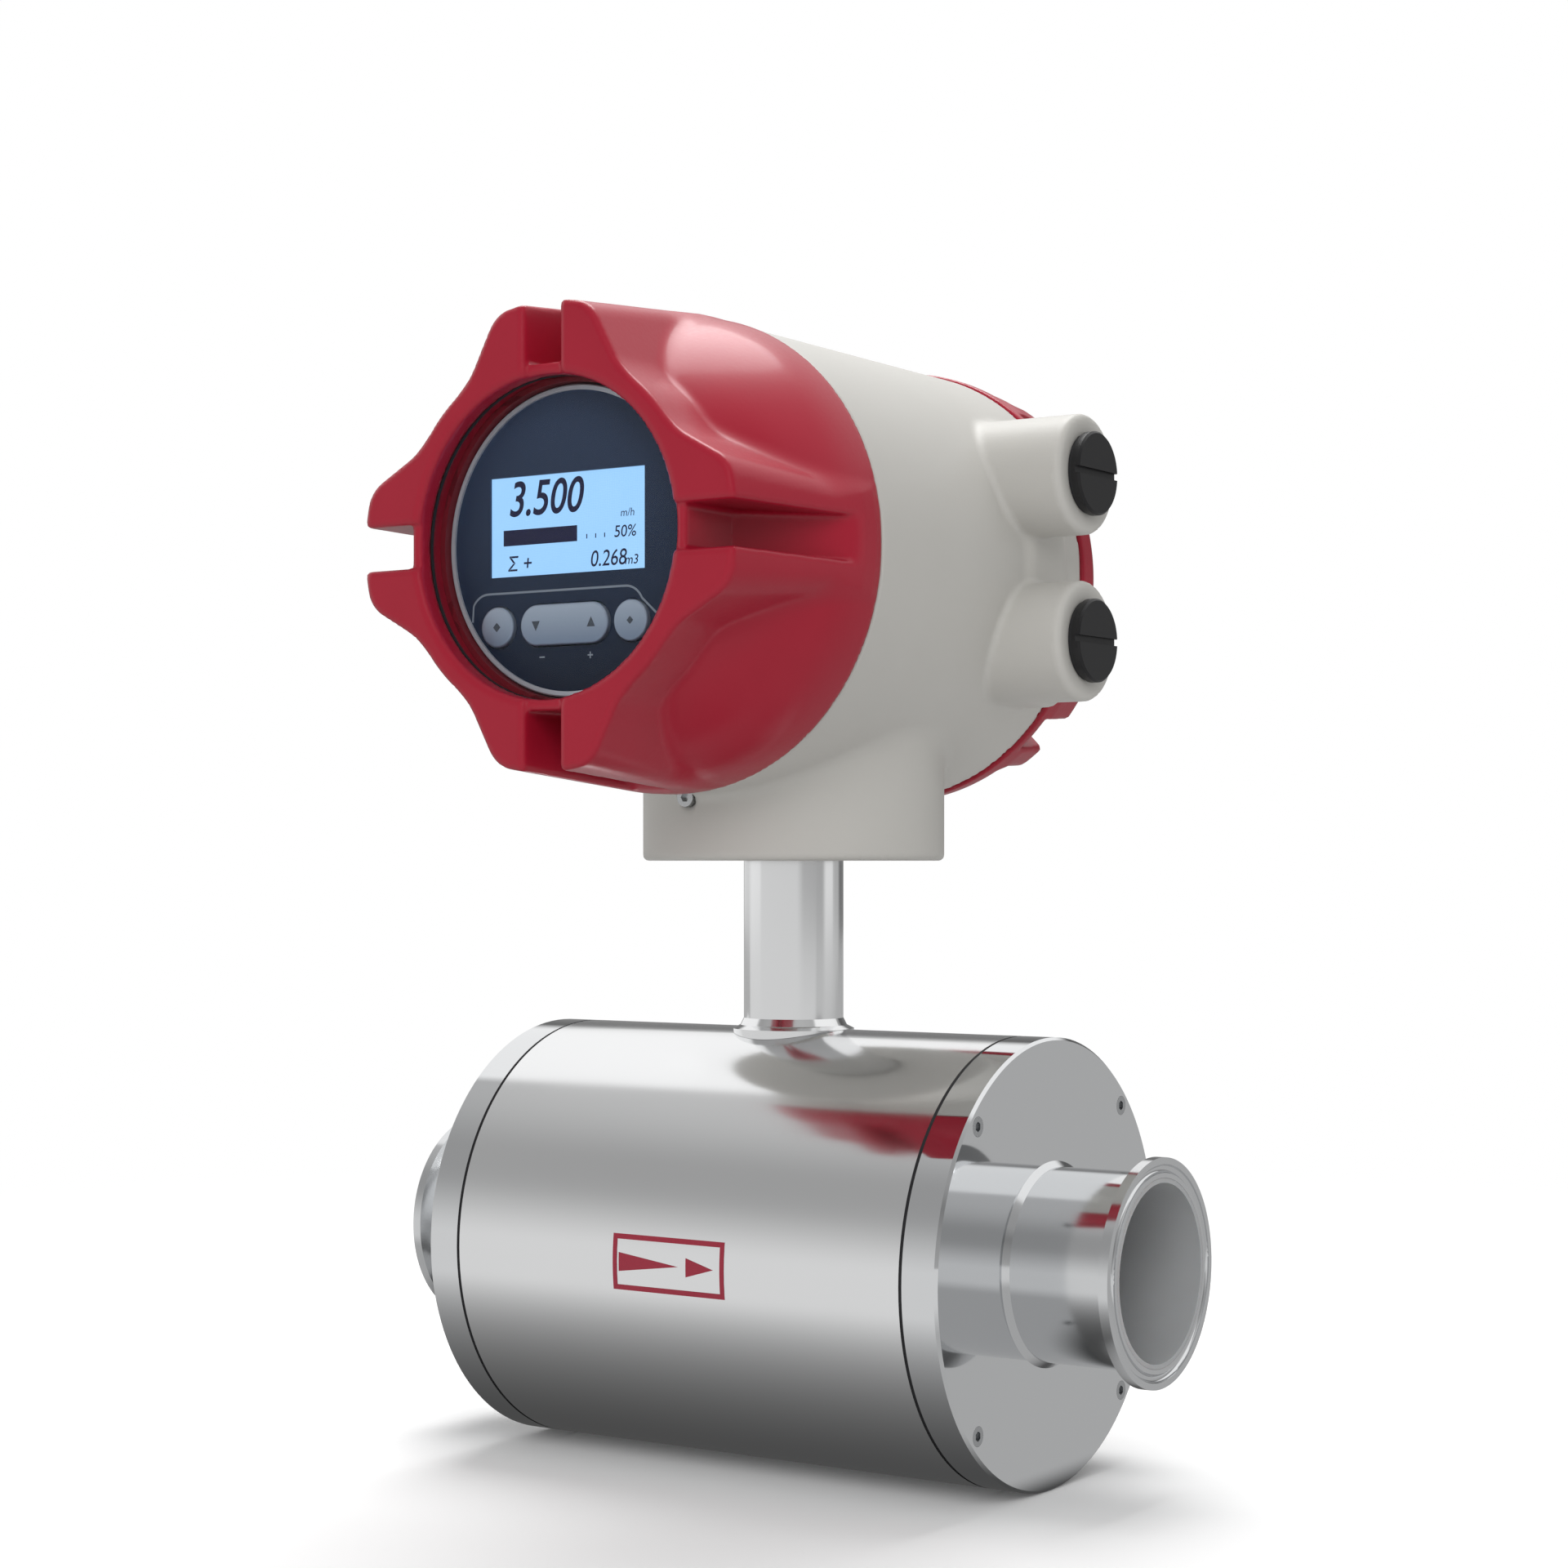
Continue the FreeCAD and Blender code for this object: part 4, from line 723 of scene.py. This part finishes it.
def cover_outside(form, across, up, height):
    """Field of a cover's outside, lugs on the two axes; height is from the joint face."""
    band, length = form["rim band"], form["length"]
    radius = np.hypot(across, up)
    side = np.minimum(np.abs(across), np.abs(up))
    out = np.maximum(np.abs(across), np.abs(up))
    tip = math.sqrt(form["lug"] ** 2 - LUG_HALF ** 2)
    flank = line_side(side, out, (LUG_ROOT_HALF, LUG_ROOT_R), (LUG_HALF, tip))
    cone = line_side(radius, height, (RIM_R, band), (form["lug"], length))
    lug = rounded_meet(flank, cone, form["lug edge"])
    lug = np.maximum(lug, band / 2 - height)
    body = rounded_join(cover_flare(form, radius, height), lug, form["lug root"])
    body = np.maximum(body, np.maximum(cone, radius - RIM_R))
    body = rounded_meet(body, height - length, FACE_EDGE)
    body = rounded_meet(body, -cover_slots(form, side, out, height), SLOT_EDGE)
    return rounded_meet(body, RIM_GAP - height, JOINT_EDGE)


def cover_room(form, radius, height, top):
    """Field of the room inside a cover, up to this height."""
    skirt_room = SKIRT_R - SKIRT_WALL
    neck = line_side(radius, height, (skirt_room, form["room"]), form["room neck"])
    wall = np.minimum(radius - form["room top"], np.maximum(neck, radius - skirt_room))
    return np.maximum(wall, height - top)


def cover_body(form, across, up, height, top):
    """Field of a whole cover with its threaded skirt, hollow up to this height."""
    radius = np.hypot(across, up)
    skirt = np.maximum(radius - SKIRT_R, np.maximum(-SKIRT - height, height - SKIRT_TOP))
    groove = ORING_R - np.hypot(radius - SKIRT_R + ORING_R, height + ORING_SET)
    threaded = np.abs(height + THREAD_MIDDLE) - THREAD_HALF
    root = np.maximum(SKIRT_R - THREAD_DEPTH - radius, threaded)
    skirt = np.maximum(skirt, np.maximum(groove, -root))
    body = np.minimum(cover_outside(form, across, up, height), skirt)
    return rounded_meet(body, -cover_room(form, radius, height, top), ROOM_EDGE)


def front_cover_field(x, y, z):
    """Field of the front cover, open at the window, with a bevelled edge there."""
    across, up, height = x, z - AXIS_Z, -y - CASE_HALF
    length = front_form["length"]
    body = cover_body(front_form, across, up, height, length - WINDOW_DEPTH)
    radius = np.hypot(across, up)
    bevel = (radius - WINDOW_R - (height - length + WINDOW_CHAMFER)) / math.sqrt(2)
    window = np.minimum(radius - WINDOW_R, bevel)
    return rounded_meet(body, -window, WINDOW_EDGE)


def rear_cover_field(x, y, z):
    """Field of the rear cover, its lugs an eighth of a turn round and its face sunk."""
    half = math.sqrt(0.5)
    across, up = half * (x + z - AXIS_Z), half * (z - AXIS_Z - x)
    height, length = y - CASE_HALF, rear_form["length"]
    body = cover_body(rear_form, across, up, height, length - REAR_WALL)
    recess = np.maximum(np.hypot(across, up) - WINDOW_R, length - REAR_RECESS - height)
    return rounded_meet(body, -recess, RECESS_EDGE)


gloss_red = Finish("gloss red powder coat", {
    "Coat Weight": 0.16, "Coat Roughness": 0.14, "Specular IOR Level": 0.26})
flow_out = gloss_red.grain(1.3 * MM, detail=1.0)
gloss_red.give({
    "Base Color": gloss_red.tint(
        gloss_red.grain(30 * MM), (0.325, 0.006, 0.022), (0.370, 0.009, 0.029)),
    "Roughness": flow_out * 0.08 + 0.34})
gloss_red.relief(flow_out, 0.02 * MM)

front_cover = cast_skin("front_cover_casting", front_cover_field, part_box("front_cover"), SKIN_CELL)
rear_cover = cast_skin("rear_cover_casting", rear_cover_field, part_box("rear_cover"), SKIN_CELL)
for casting, cad_node in ((front_cover, "front_cover"), (rear_cover, "rear_cover")):
    gloss_red.on(casting)
    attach(casting, cad_node)
    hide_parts(cad_node)

bare_thread = Finish("bare cut thread", {"Base Color": (0.52, 0.52, 0.53), "Metallic": 1.0})
bare_thread.give({"Roughness": bare_thread.grain(0.5 * MM) * 0.2 + 0.25})
THREAD_START = CASE_HALF - THREAD_MIDDLE + THREAD_HALF - THREAD_DEPTH
THREAD_RIDGE = THREAD_DEPTH * 0.95
for cover, front in (("front_cover", 1), ("rear_cover", -1)):
    start = Matrix.Translation((0, front * -THREAD_START, AXIS_Z))
    thread = wound(
        cover + "_thread", bare_thread, start @ Matrix.Rotation(front * -math.pi / 2, 4, "X"),
        Radius=SKIRT_R - THREAD_DEPTH, Pitch=THREAD_PITCH,
        Turns=2 * (THREAD_HALF - THREAD_DEPTH) / THREAD_PITCH, Ridge=THREAD_RIDGE)
    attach(thread, cover)

retainer_red = Finish("satin red retaining ring", {"Base Color": (0.20, 0.01, 0.02)})
retainer_red.give({"Roughness": retainer_red.grain(0.6 * MM) * 0.15 + 0.4})
retainer_red.on(node["window_retaining_ring"])


# ---------------------------------------------------------------------------------------
# Window.  A disc of clear toughened glass, laid on a thin rubber seal behind the cover's
# ledge and held there by the screwed ring.
clear_glass = Finish("clear window glass", {
    "Base Color": (0.02, 0.025, 0.03), "Roughness": 0.02, "Alpha": 0.10, "IOR": 1.5})
clear_glass.on(node["window_glass"])


# ---------------------------------------------------------------------------------------
# Display.  A dark printed panel in a satin ring, a backlit screen showing the flow rate, two
# round keys and a wide rocking key moulded in silver grey.
panel_low, panel_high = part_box("display_panel")
INK_LIFT = 0.03 * MM
PANEL_INK = panel_low.y - INK_LIFT
SCREEN_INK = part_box("lcd_module")[0].y - INK_LIFT
SCREEN_DOT = 0.42 * MM
DOT_GAP = 0.10             # share of a dot's width

navy_film = Finish("navy panel film", {"Specular IOR Level": 0.25})
satin_print = navy_film.grain(0.35 * MM)
film_cloud = navy_film.grain(30 * MM)
# Painted light: the film is painted lighter towards its top and darker towards its bottom, as if lit
# from above.
shaded_lower_navy = navy_film.tint(film_cloud, (0.001, 0.008, 0.028), (0.002, 0.011, 0.034))
lit_upper_navy = navy_film.tint(film_cloud, (0.036, 0.060, 0.120), (0.044, 0.072, 0.140))
navy_film.give({
    "Base Color": navy_film.tint(
        navy_film.rise(panel_low, panel_high), shaded_lower_navy, lit_upper_navy),
    "Roughness": satin_print * 0.1 + 0.35})
navy_film.on(node["display_panel"])

satin_silver = Finish("satin silver ring", {"Metallic": 0.4})
satin_silver.give({
    "Base Color": satin_silver.tint(
        satin_silver.grain(8 * MM), (0.62, 0.68, 0.76), (0.72, 0.77, 0.84)),
    "Roughness": satin_silver.grain(0.3 * MM) * 0.12 + 0.3})
satin_silver.on(node["display_bezel_ring"])

backlight = Finish("backlit screen", {
    "Base Color": (0.05, 0.09, 0.14), "Roughness": 0.25, "Emission Strength": 1.24})
dots = (1 / SCREEN_DOT, 1, 1 / SCREEN_DOT)
column, row = (backlight.maths("FRACT", backlight.along(axis, dots)) for axis in "XZ")
lit = (column > DOT_GAP) * (row > DOT_GAP)
glow = backlight.tint(backlight.grain(26 * MM), (0.29, 0.57, 0.96), (0.37, 0.66, 1.0))
backlight.give({"Emission Color": backlight.tint(lit, (0.24, 0.49, 0.85), glow)})
backlight.on(node["lcd_module"])

moulded_silver = Finish("moulded silver keys", {"Metallic": 0.55, "Coat Weight": 0.2})
fine_spark = moulded_silver.grain(0.25 * MM)
key_low, key_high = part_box("rocker_key")
# Painted light: the keys are painted lighter towards their top and darker towards their bottom, a
# painted highlight and shade standing in for a domed key lit from above.
shaded_lower_silver = moulded_silver.tint(fine_spark, (0.22, 0.30, 0.44), (0.27, 0.36, 0.50))
lit_upper_silver = moulded_silver.tint(fine_spark, (0.50, 0.60, 0.74), (0.57, 0.68, 0.82))
moulded_silver.give({
    "Base Color": moulded_silver.tint(
        moulded_silver.rise(key_low, key_high), shaded_lower_silver, lit_upper_silver),
    "Roughness": fine_spark * 0.12 + 0.28})
moulded_silver.on(node["left_key"], node["right_key"], node["rocker_key"])

screen_ink = Finish("dark screen segments", {"Roughness": 0.3})
screen_ink.give({"Base Color": screen_ink.tint(
    screen_ink.grain(1 * MM), (0.002, 0.003, 0.045), (0.004, 0.005, 0.065))})
pale_ink = Finish("pale panel print", {"Roughness": 0.4})
pale_ink.give({"Base Color": pale_ink.tint(
    pale_ink.grain(0.6 * MM), (0.22, 0.27, 0.33), (0.28, 0.33, 0.40))})


CAPITAL = 0.72             # height of a capital, as a share of the type's size


def flat_words(name, words, high, left, base, slant, weight, width):
    """Characters of this height, standing up on the screen's front."""
    curve = bpy.data.curves.new(name, "FONT")
    curve.body = words
    curve.size = high / CAPITAL
    curve.shear = slant
    curve.offset = weight
    writer = placed(name + "_text", curve)
    data = plain_mesh(writer)
    bpy.data.objects.remove(writer)
    data.transform(Matrix.Translation((left, SCREEN_INK, AXIS_Z + base))
                   @ Matrix.Rotation(math.pi / 2, 4, "X") @ Matrix.Diagonal((width, 1, 1, 1)))
    return placed(name, data)


def flat_shapes(name, outlines, depth):
    """Flat outlines in the display plane, about the transmitter's axis."""
    mesh = bmesh.new()
    for outline in outlines:
        face = mesh.faces.new([mesh.verts.new((x, depth, AXIS_Z + z)) for x, z in outline])
        face.normal_update()
        if face.normal.y > 0:
            face.normal_flip()
    return finished_piece(name, mesh)


def printed(piece, finish, body):
    finish.on(piece)
    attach(piece, body)


SCREEN_WORDS = (  # name, characters, height, left, base, slant, weight and width; in mm
    ("screen_reading", "3.500", 9.6, -22.6, 8.0, 0.22, 0.16, 0.86),
    ("screen_total", "0.268", 4.4, 5.6, -7.2, 0.15, 0.02, 0.9),
    ("screen_unit", "m3", 2.6, 17.2, -7.2, 0.15, 0.02, 1.0),
    ("screen_share", "50%", 3.2, 13.6, 0.2, 0.1, 0.02, 1.0),
    ("screen_rate_unit", "m/h", 2.2, 15.8, 5.6, 0.1, 0.0, 1.0),
    ("screen_sum_sign", "\u03a3 +", 4.0, -22.8, -7.0, 0.1, 0.04, 1.0))
for name, words, high, left, base, slant, weight, width in SCREEN_WORDS:
    line = flat_words(
        name, words, high * MM, left * MM, base * MM, slant, weight * MM, width)
    printed(line, screen_ink, "meter")

TICK = 0.35 * MM
full_bar = bar(-24.1 * MM, 1.3 * MM, -0.1 * MM, 4.2 * MM)
ticks = [bar(x * MM, x * MM + TICK, 0.4 * MM, 1.6 * MM) for x in (4.4, 7.4, 10.4)]
bar_graph = flat_shapes("screen_bar_graph", [full_bar, *ticks], SCREEN_INK)
printed(bar_graph, screen_ink, "meter")


def ribbon(points, half):
    """Outlines of a thin line through these points."""
    outlines = []
    for (ax, az), (bx, bz) in zip(points, points[1:]):
        run = math.hypot(bx - ax, bz - az)
        nx, nz = -(bz - az) / run * half, (bx - ax) / run * half
        outlines.append([(ax + nx, az + nz), (ax - nx, az - nz),
                         (bx - nx, bz - nz), (bx + nx, bz + nz)])
    return outlines


LINE_HALF = 0.3 * MM
LINE_ENDS = ((-34.5 * MM, -20.5 * MM), (28.6 * MM, -21.0 * MM))
LINE_TOP = -13.0 * MM
LINE_BEND = 6.0 * MM
LINE_BENDS = (             # middle of each bend, and the angles where it starts and ends
    (-29.0 * MM, 150, 90), (24.0 * MM - LINE_BEND, 90, 25))
BEND_POINTS = 8


def line_over_keys():
    """Points of the line over the keys, whose ends bend down to the panel's edge."""
    points = [LINE_ENDS[0]]
    for middle, first, last in LINE_BENDS:
        for angle in np.linspace(math.radians(first), math.radians(last), BEND_POINTS):
            points.append((middle + LINE_BEND * math.cos(angle),
                           LINE_TOP - LINE_BEND + LINE_BEND * math.sin(angle)))
    return points + [LINE_ENDS[1]]


key_line = flat_shapes("panel_key_line", ribbon(line_over_keys(), LINE_HALF), PANEL_INK)
printed(key_line, pale_ink, "meter")

KEY_LEVEL = (key_low.z + key_high.z) / 2 - AXIS_Z
ROCKER_MIDDLE = (key_low.x + key_high.x) / 2
SIGN_HALF = 0.9 * MM
SIGN_LINE = 0.2 * MM       # half the width of a stroke
SIGN_OUT = 8.2 * MM
SIGN_DROP = 8.6 * MM
minus, plus = ROCKER_MIDDLE - SIGN_OUT, ROCKER_MIDDLE + SIGN_OUT
level = KEY_LEVEL - SIGN_DROP
under, over = level - SIGN_LINE, level + SIGN_LINE
panel_signs = flat_shapes("panel_signs", [
    bar(minus - SIGN_HALF, minus + SIGN_HALF, under, over),
    bar(plus - SIGN_HALF, plus + SIGN_HALF, under, over),
    bar(plus - SIGN_LINE, plus + SIGN_LINE, level - SIGN_HALF, under),
    bar(plus - SIGN_LINE, plus + SIGN_LINE, over, level + SIGN_HALF)], PANEL_INK)
printed(panel_signs, pale_ink, "meter")


KEY_ARROW = (1.4 * MM, 1.6 * MM)   # half its width, and how far its tip stands out
KEY_ARROW_FOOT = 0.7       # how far its foot stands out the other way, as a share of that


def arrowhead(x, z, up):
    """Small triangle on a key, pointing up or down."""
    half, tip = KEY_ARROW[0], KEY_ARROW[1] * up
    foot = z - tip * KEY_ARROW_FOOT
    return [(x - half, foot), (x + half, foot), (x, z + tip)]


def diamond(x, z, half):
    """Small square on a key, standing on its corner."""
    return [(x - half, z), (x, z - half), (x + half, z), (x, z + half)]


key_ink = Finish("dark key print", {"Roughness": 0.4})
key_ink.give({
    "Base Color": key_ink.tint(key_ink.grain(0.5 * MM), (0.05, 0.065, 0.09), (0.08, 0.10, 0.13))})
ARROW_OUT = 9.4 * MM
left_low, left_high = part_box("left_key")
right_low, right_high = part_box("right_key")
key_signs = {
    "rocker_key": [arrowhead(ROCKER_MIDDLE - ARROW_OUT, KEY_LEVEL, -1),
                   arrowhead(ROCKER_MIDDLE + ARROW_OUT, KEY_LEVEL, 1)],
    "left_key": [diamond((left_low.x + left_high.x) / 2, KEY_LEVEL, 1.3 * MM)],
    "right_key": [diamond((right_low.x + right_high.x) / 2, KEY_LEVEL, 1.1 * MM)]}
for key, outlines in key_signs.items():
    sign = flat_shapes(key + "_sign", outlines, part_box(key)[0].y - INK_LIFT)
    printed(sign, key_ink, key)


# ---------------------------------------------------------------------------------------
# Studio.  Pale floor, plain soft light, and the camera.
FLOOR_SIZE = 6.0
CAMERA_PLACE = (0.48594, -0.72973, 0.11396)
CAMERA_TURN = 33.849
CAMERA_LENS = 67.25
CAMERA_SHIFT = 0.049
FLOOR_GAP = 0.1 * MM
FLOOR_LIFT = 0.04          # light that the floor gains where the camera sees it
WHITE = (1, 1, 1)

FADE = (0.30, 0.85)        # distances over which the floor turns white to the camera

# How light the floor looks in polished metal, with a painted shadow of the drum along the pipe's
# line.
LEAST_MIRRORED = 0.075
MORE_MIRRORED = 0.90
ACROSS = (0.02, 0.20)                  # two distances from the pipe's line
DEPTH = (-0.05, 0.10, 0.72, 0.38)      # two values of y, and the share at each
PIPE_MIDDLE = -0.03
PAST_ENDS = (0.115, 0.135)             # two distances along the pipe from its middle
FAR_ALONG = (1.2, 2.2, 0.46, 0.60)     # two values of x, and the light at each

mesh = bmesh.new()
bmesh.ops.create_grid(mesh, x_segments=1, y_segments=1, size=FLOOR_SIZE)
bmesh.ops.translate(mesh, verts=mesh.verts[:], vec=(0, 0, cad_box[0].z - FLOOR_GAP))
floor = finished_piece("studio_floor", mesh)

floor_paint = Finish("pale floor", {"Roughness": 0.9, "Specular IOR Level": 0.0})
spot_x, spot_y = floor_paint.along("X"), floor_paint.along("Y")
away = floor_paint.node("VectorMath", {"operation": "LENGTH"}, {0: floor_paint.place()}, "Value")
fade = floor_paint.run(away, *FADE)
seen = floor_paint.node("LightPath", {}, {}, "Is Camera Ray")
mirrored = floor_paint.node("LightPath", {}, {}, "Is Glossy Ray")
floor_paint.give({"Base Color": floor_paint.tint(seen, (0.66, 0.66, 0.66), (0.93, 0.93, 0.93))})
lit_floor = Signal(floor_paint, floor_paint.shader.outputs["BSDF"])
lift = floor_paint.node("Emission", {}, {"Color": WHITE, "Strength": seen * FLOOR_LIFT})
shaded = floor_paint.node("AddShader", {}, {0: lit_floor, 1: lift})
bright = floor_paint.node("Emission", {}, {"Color": WHITE, "Strength": 1.0})
plain_floor = floor_paint.node("MixShader", {}, {0: fade * seen, 1: shaded, 2: bright})
# Seen in polished metal, the floor is dark along the pipe's line and lighter farther out: a painted
# shadow under the drum.
ahead = floor_paint.run(abs(spot_y), *ACROSS) * floor_paint.run(spot_y, *DEPTH)
ahead = ahead * MORE_MIRRORED + LEAST_MIRRORED
far_along = floor_paint.run(spot_x, *FAR_ALONG)
beside = floor_paint.run(abs(spot_x - PIPE_MIDDLE), *PAST_ENDS, 0.0, far_along)
card = floor_paint.node("Emission", {}, {
    "Color": WHITE, "Strength": floor_paint.maths("MAXIMUM", ahead, beside)})
mixed = floor_paint.node("MixShader", {}, {0: mirrored, 1: plain_floor, 2: card})
floor_paint.set(floor_paint.tree.nodes["Material Output"], {"Surface": mixed})
floor_paint.on(floor)

camera = placed("camera", bpy.data.cameras.new("camera"))
camera.location = CAMERA_PLACE
camera.rotation_euler = (math.pi / 2, 0, math.radians(CAMERA_TURN))
camera.data.lens = CAMERA_LENS
camera.data.sensor_width = 36
camera.data.shift_y = CAMERA_SHIFT
camera.data.clip_start = 0.01
bpy.context.scene.camera = camera

bpy.context.scene.view_settings.view_transform = "Standard"


def soft_light(name, place, aim, size, watts):
    """A round area light that points at its aim."""
    lamp = bpy.data.lights.new(name, "AREA")
    lamp.shape = "DISK"
    lamp.size = size
    lamp.energy = watts
    holder = placed(name, lamp)
    holder.location = place
    holder.rotation_euler = (Vector(aim) - Vector(place)).to_track_quat("-Z", "Y").to_euler()
    lamp.cycles.is_caustics_light = False
    return holder


soft_light("overhead_light", (-0.3, 0.5, 1.8), (0, 0, 0.1), 1.3, 26)
soft_light("front_light", (0.9, -1.6, 1.0), (0, 0, 0.1), 1.2, 14).visible_glossy = False


class Surroundings(Finish):
    """The light that comes from all round, drawn with the same helpers as a surface."""

    def __init__(self, name):
        world = bpy.data.worlds.new(name)
        world.use_nodes = True
        bpy.context.scene.world = world
        self.tree = world.node_tree
        self.shader = self.tree.nodes["Background"]


HORIZON = (  # how light the room is at eye level, by its bearing from the front corner
    (-180, 0.34), (-128, 0.38), (-114, 0.92), (8, 0.88), (22, 0.52), (70, 0.50), (80, 1.08),
    (100, 1.08), (107, 0.58), (124, 0.58), (134, 0.20), (180, 0.34))
EYE_LEVEL = (0.32, 0.50, 1, 0)         # two heights of a direction, and the value at each
FRONT_LOW = (-0.1, 0.50, 0.82, 0.36)
FRONT_HIGH = (0.55, 0.9, 0.0, 0.22)
BEHIND_UP = (0.32, 0.46)
LEFT_CARD_UP = (-0.3, 0.2)
BEHIND = (-0.02, 0.06)                 # two values of its y
LEFT_CARD = (-0.80, -0.70, 1, 0)       # two values of its x, and the value at each
AMBIENT = 0.55             # light on every surface that isn't a mirror

sky = Surroundings("studio")
direction = sky.node("TexCoord", {}, {}, "Generated")
east, north, up = (sky.node("SeparateXYZ", {}, {0: direction}, axis) for axis in "XYZ")
turn = math.radians(CAMERA_TURN)
aside = sky.node("VectorMath", {"operation": "DOT_PRODUCT"}, {
    0: direction, 1: (math.cos(turn), math.sin(turn), 0)}, "Value")
facing = sky.node("VectorMath", {"operation": "DOT_PRODUCT"}, {
    0: direction, 1: (math.sin(turn), -math.cos(turn), 0)}, "Value")
bearing = sky.node("MapRange", {}, {
    "Value": sky.maths("ARCTAN2", aside, facing), "From Min": -math.pi, "From Max": math.pi})
around = sky.node("ValToRGB", {"stops": [
    ((degrees + 180) / 360, (shade / 2,) * 3) for degrees, shade in HORIZON]}, {"Fac": bearing})
shade = (around * 2.0 - 1.0) * sky.run(up, *EYE_LEVEL) + 1.0
front = (sky.run(up, *FRONT_LOW) + sky.run(up, *FRONT_HIGH)) * shade
behind = sky.run(north, *BEHIND) * sky.run(up, *BEHIND_UP)
left_card = sky.run(east, *LEFT_CARD) * sky.run(up, *LEFT_CARD_UP)
reflected = front + (1.0 - front) * sky.maths("MAXIMUM", behind, left_card)
glossy, straight, through = (
    sky.node("LightPath", {}, {}, f"Is {kind} Ray")
    for kind in ("Glossy", "Camera", "Transmission"))
level = glossy * (reflected - AMBIENT) + AMBIENT
level = sky.maths("MAXIMUM", straight, through) * (1.0 - AMBIENT) + level
sky.give({"Color": WHITE, "Strength": level})
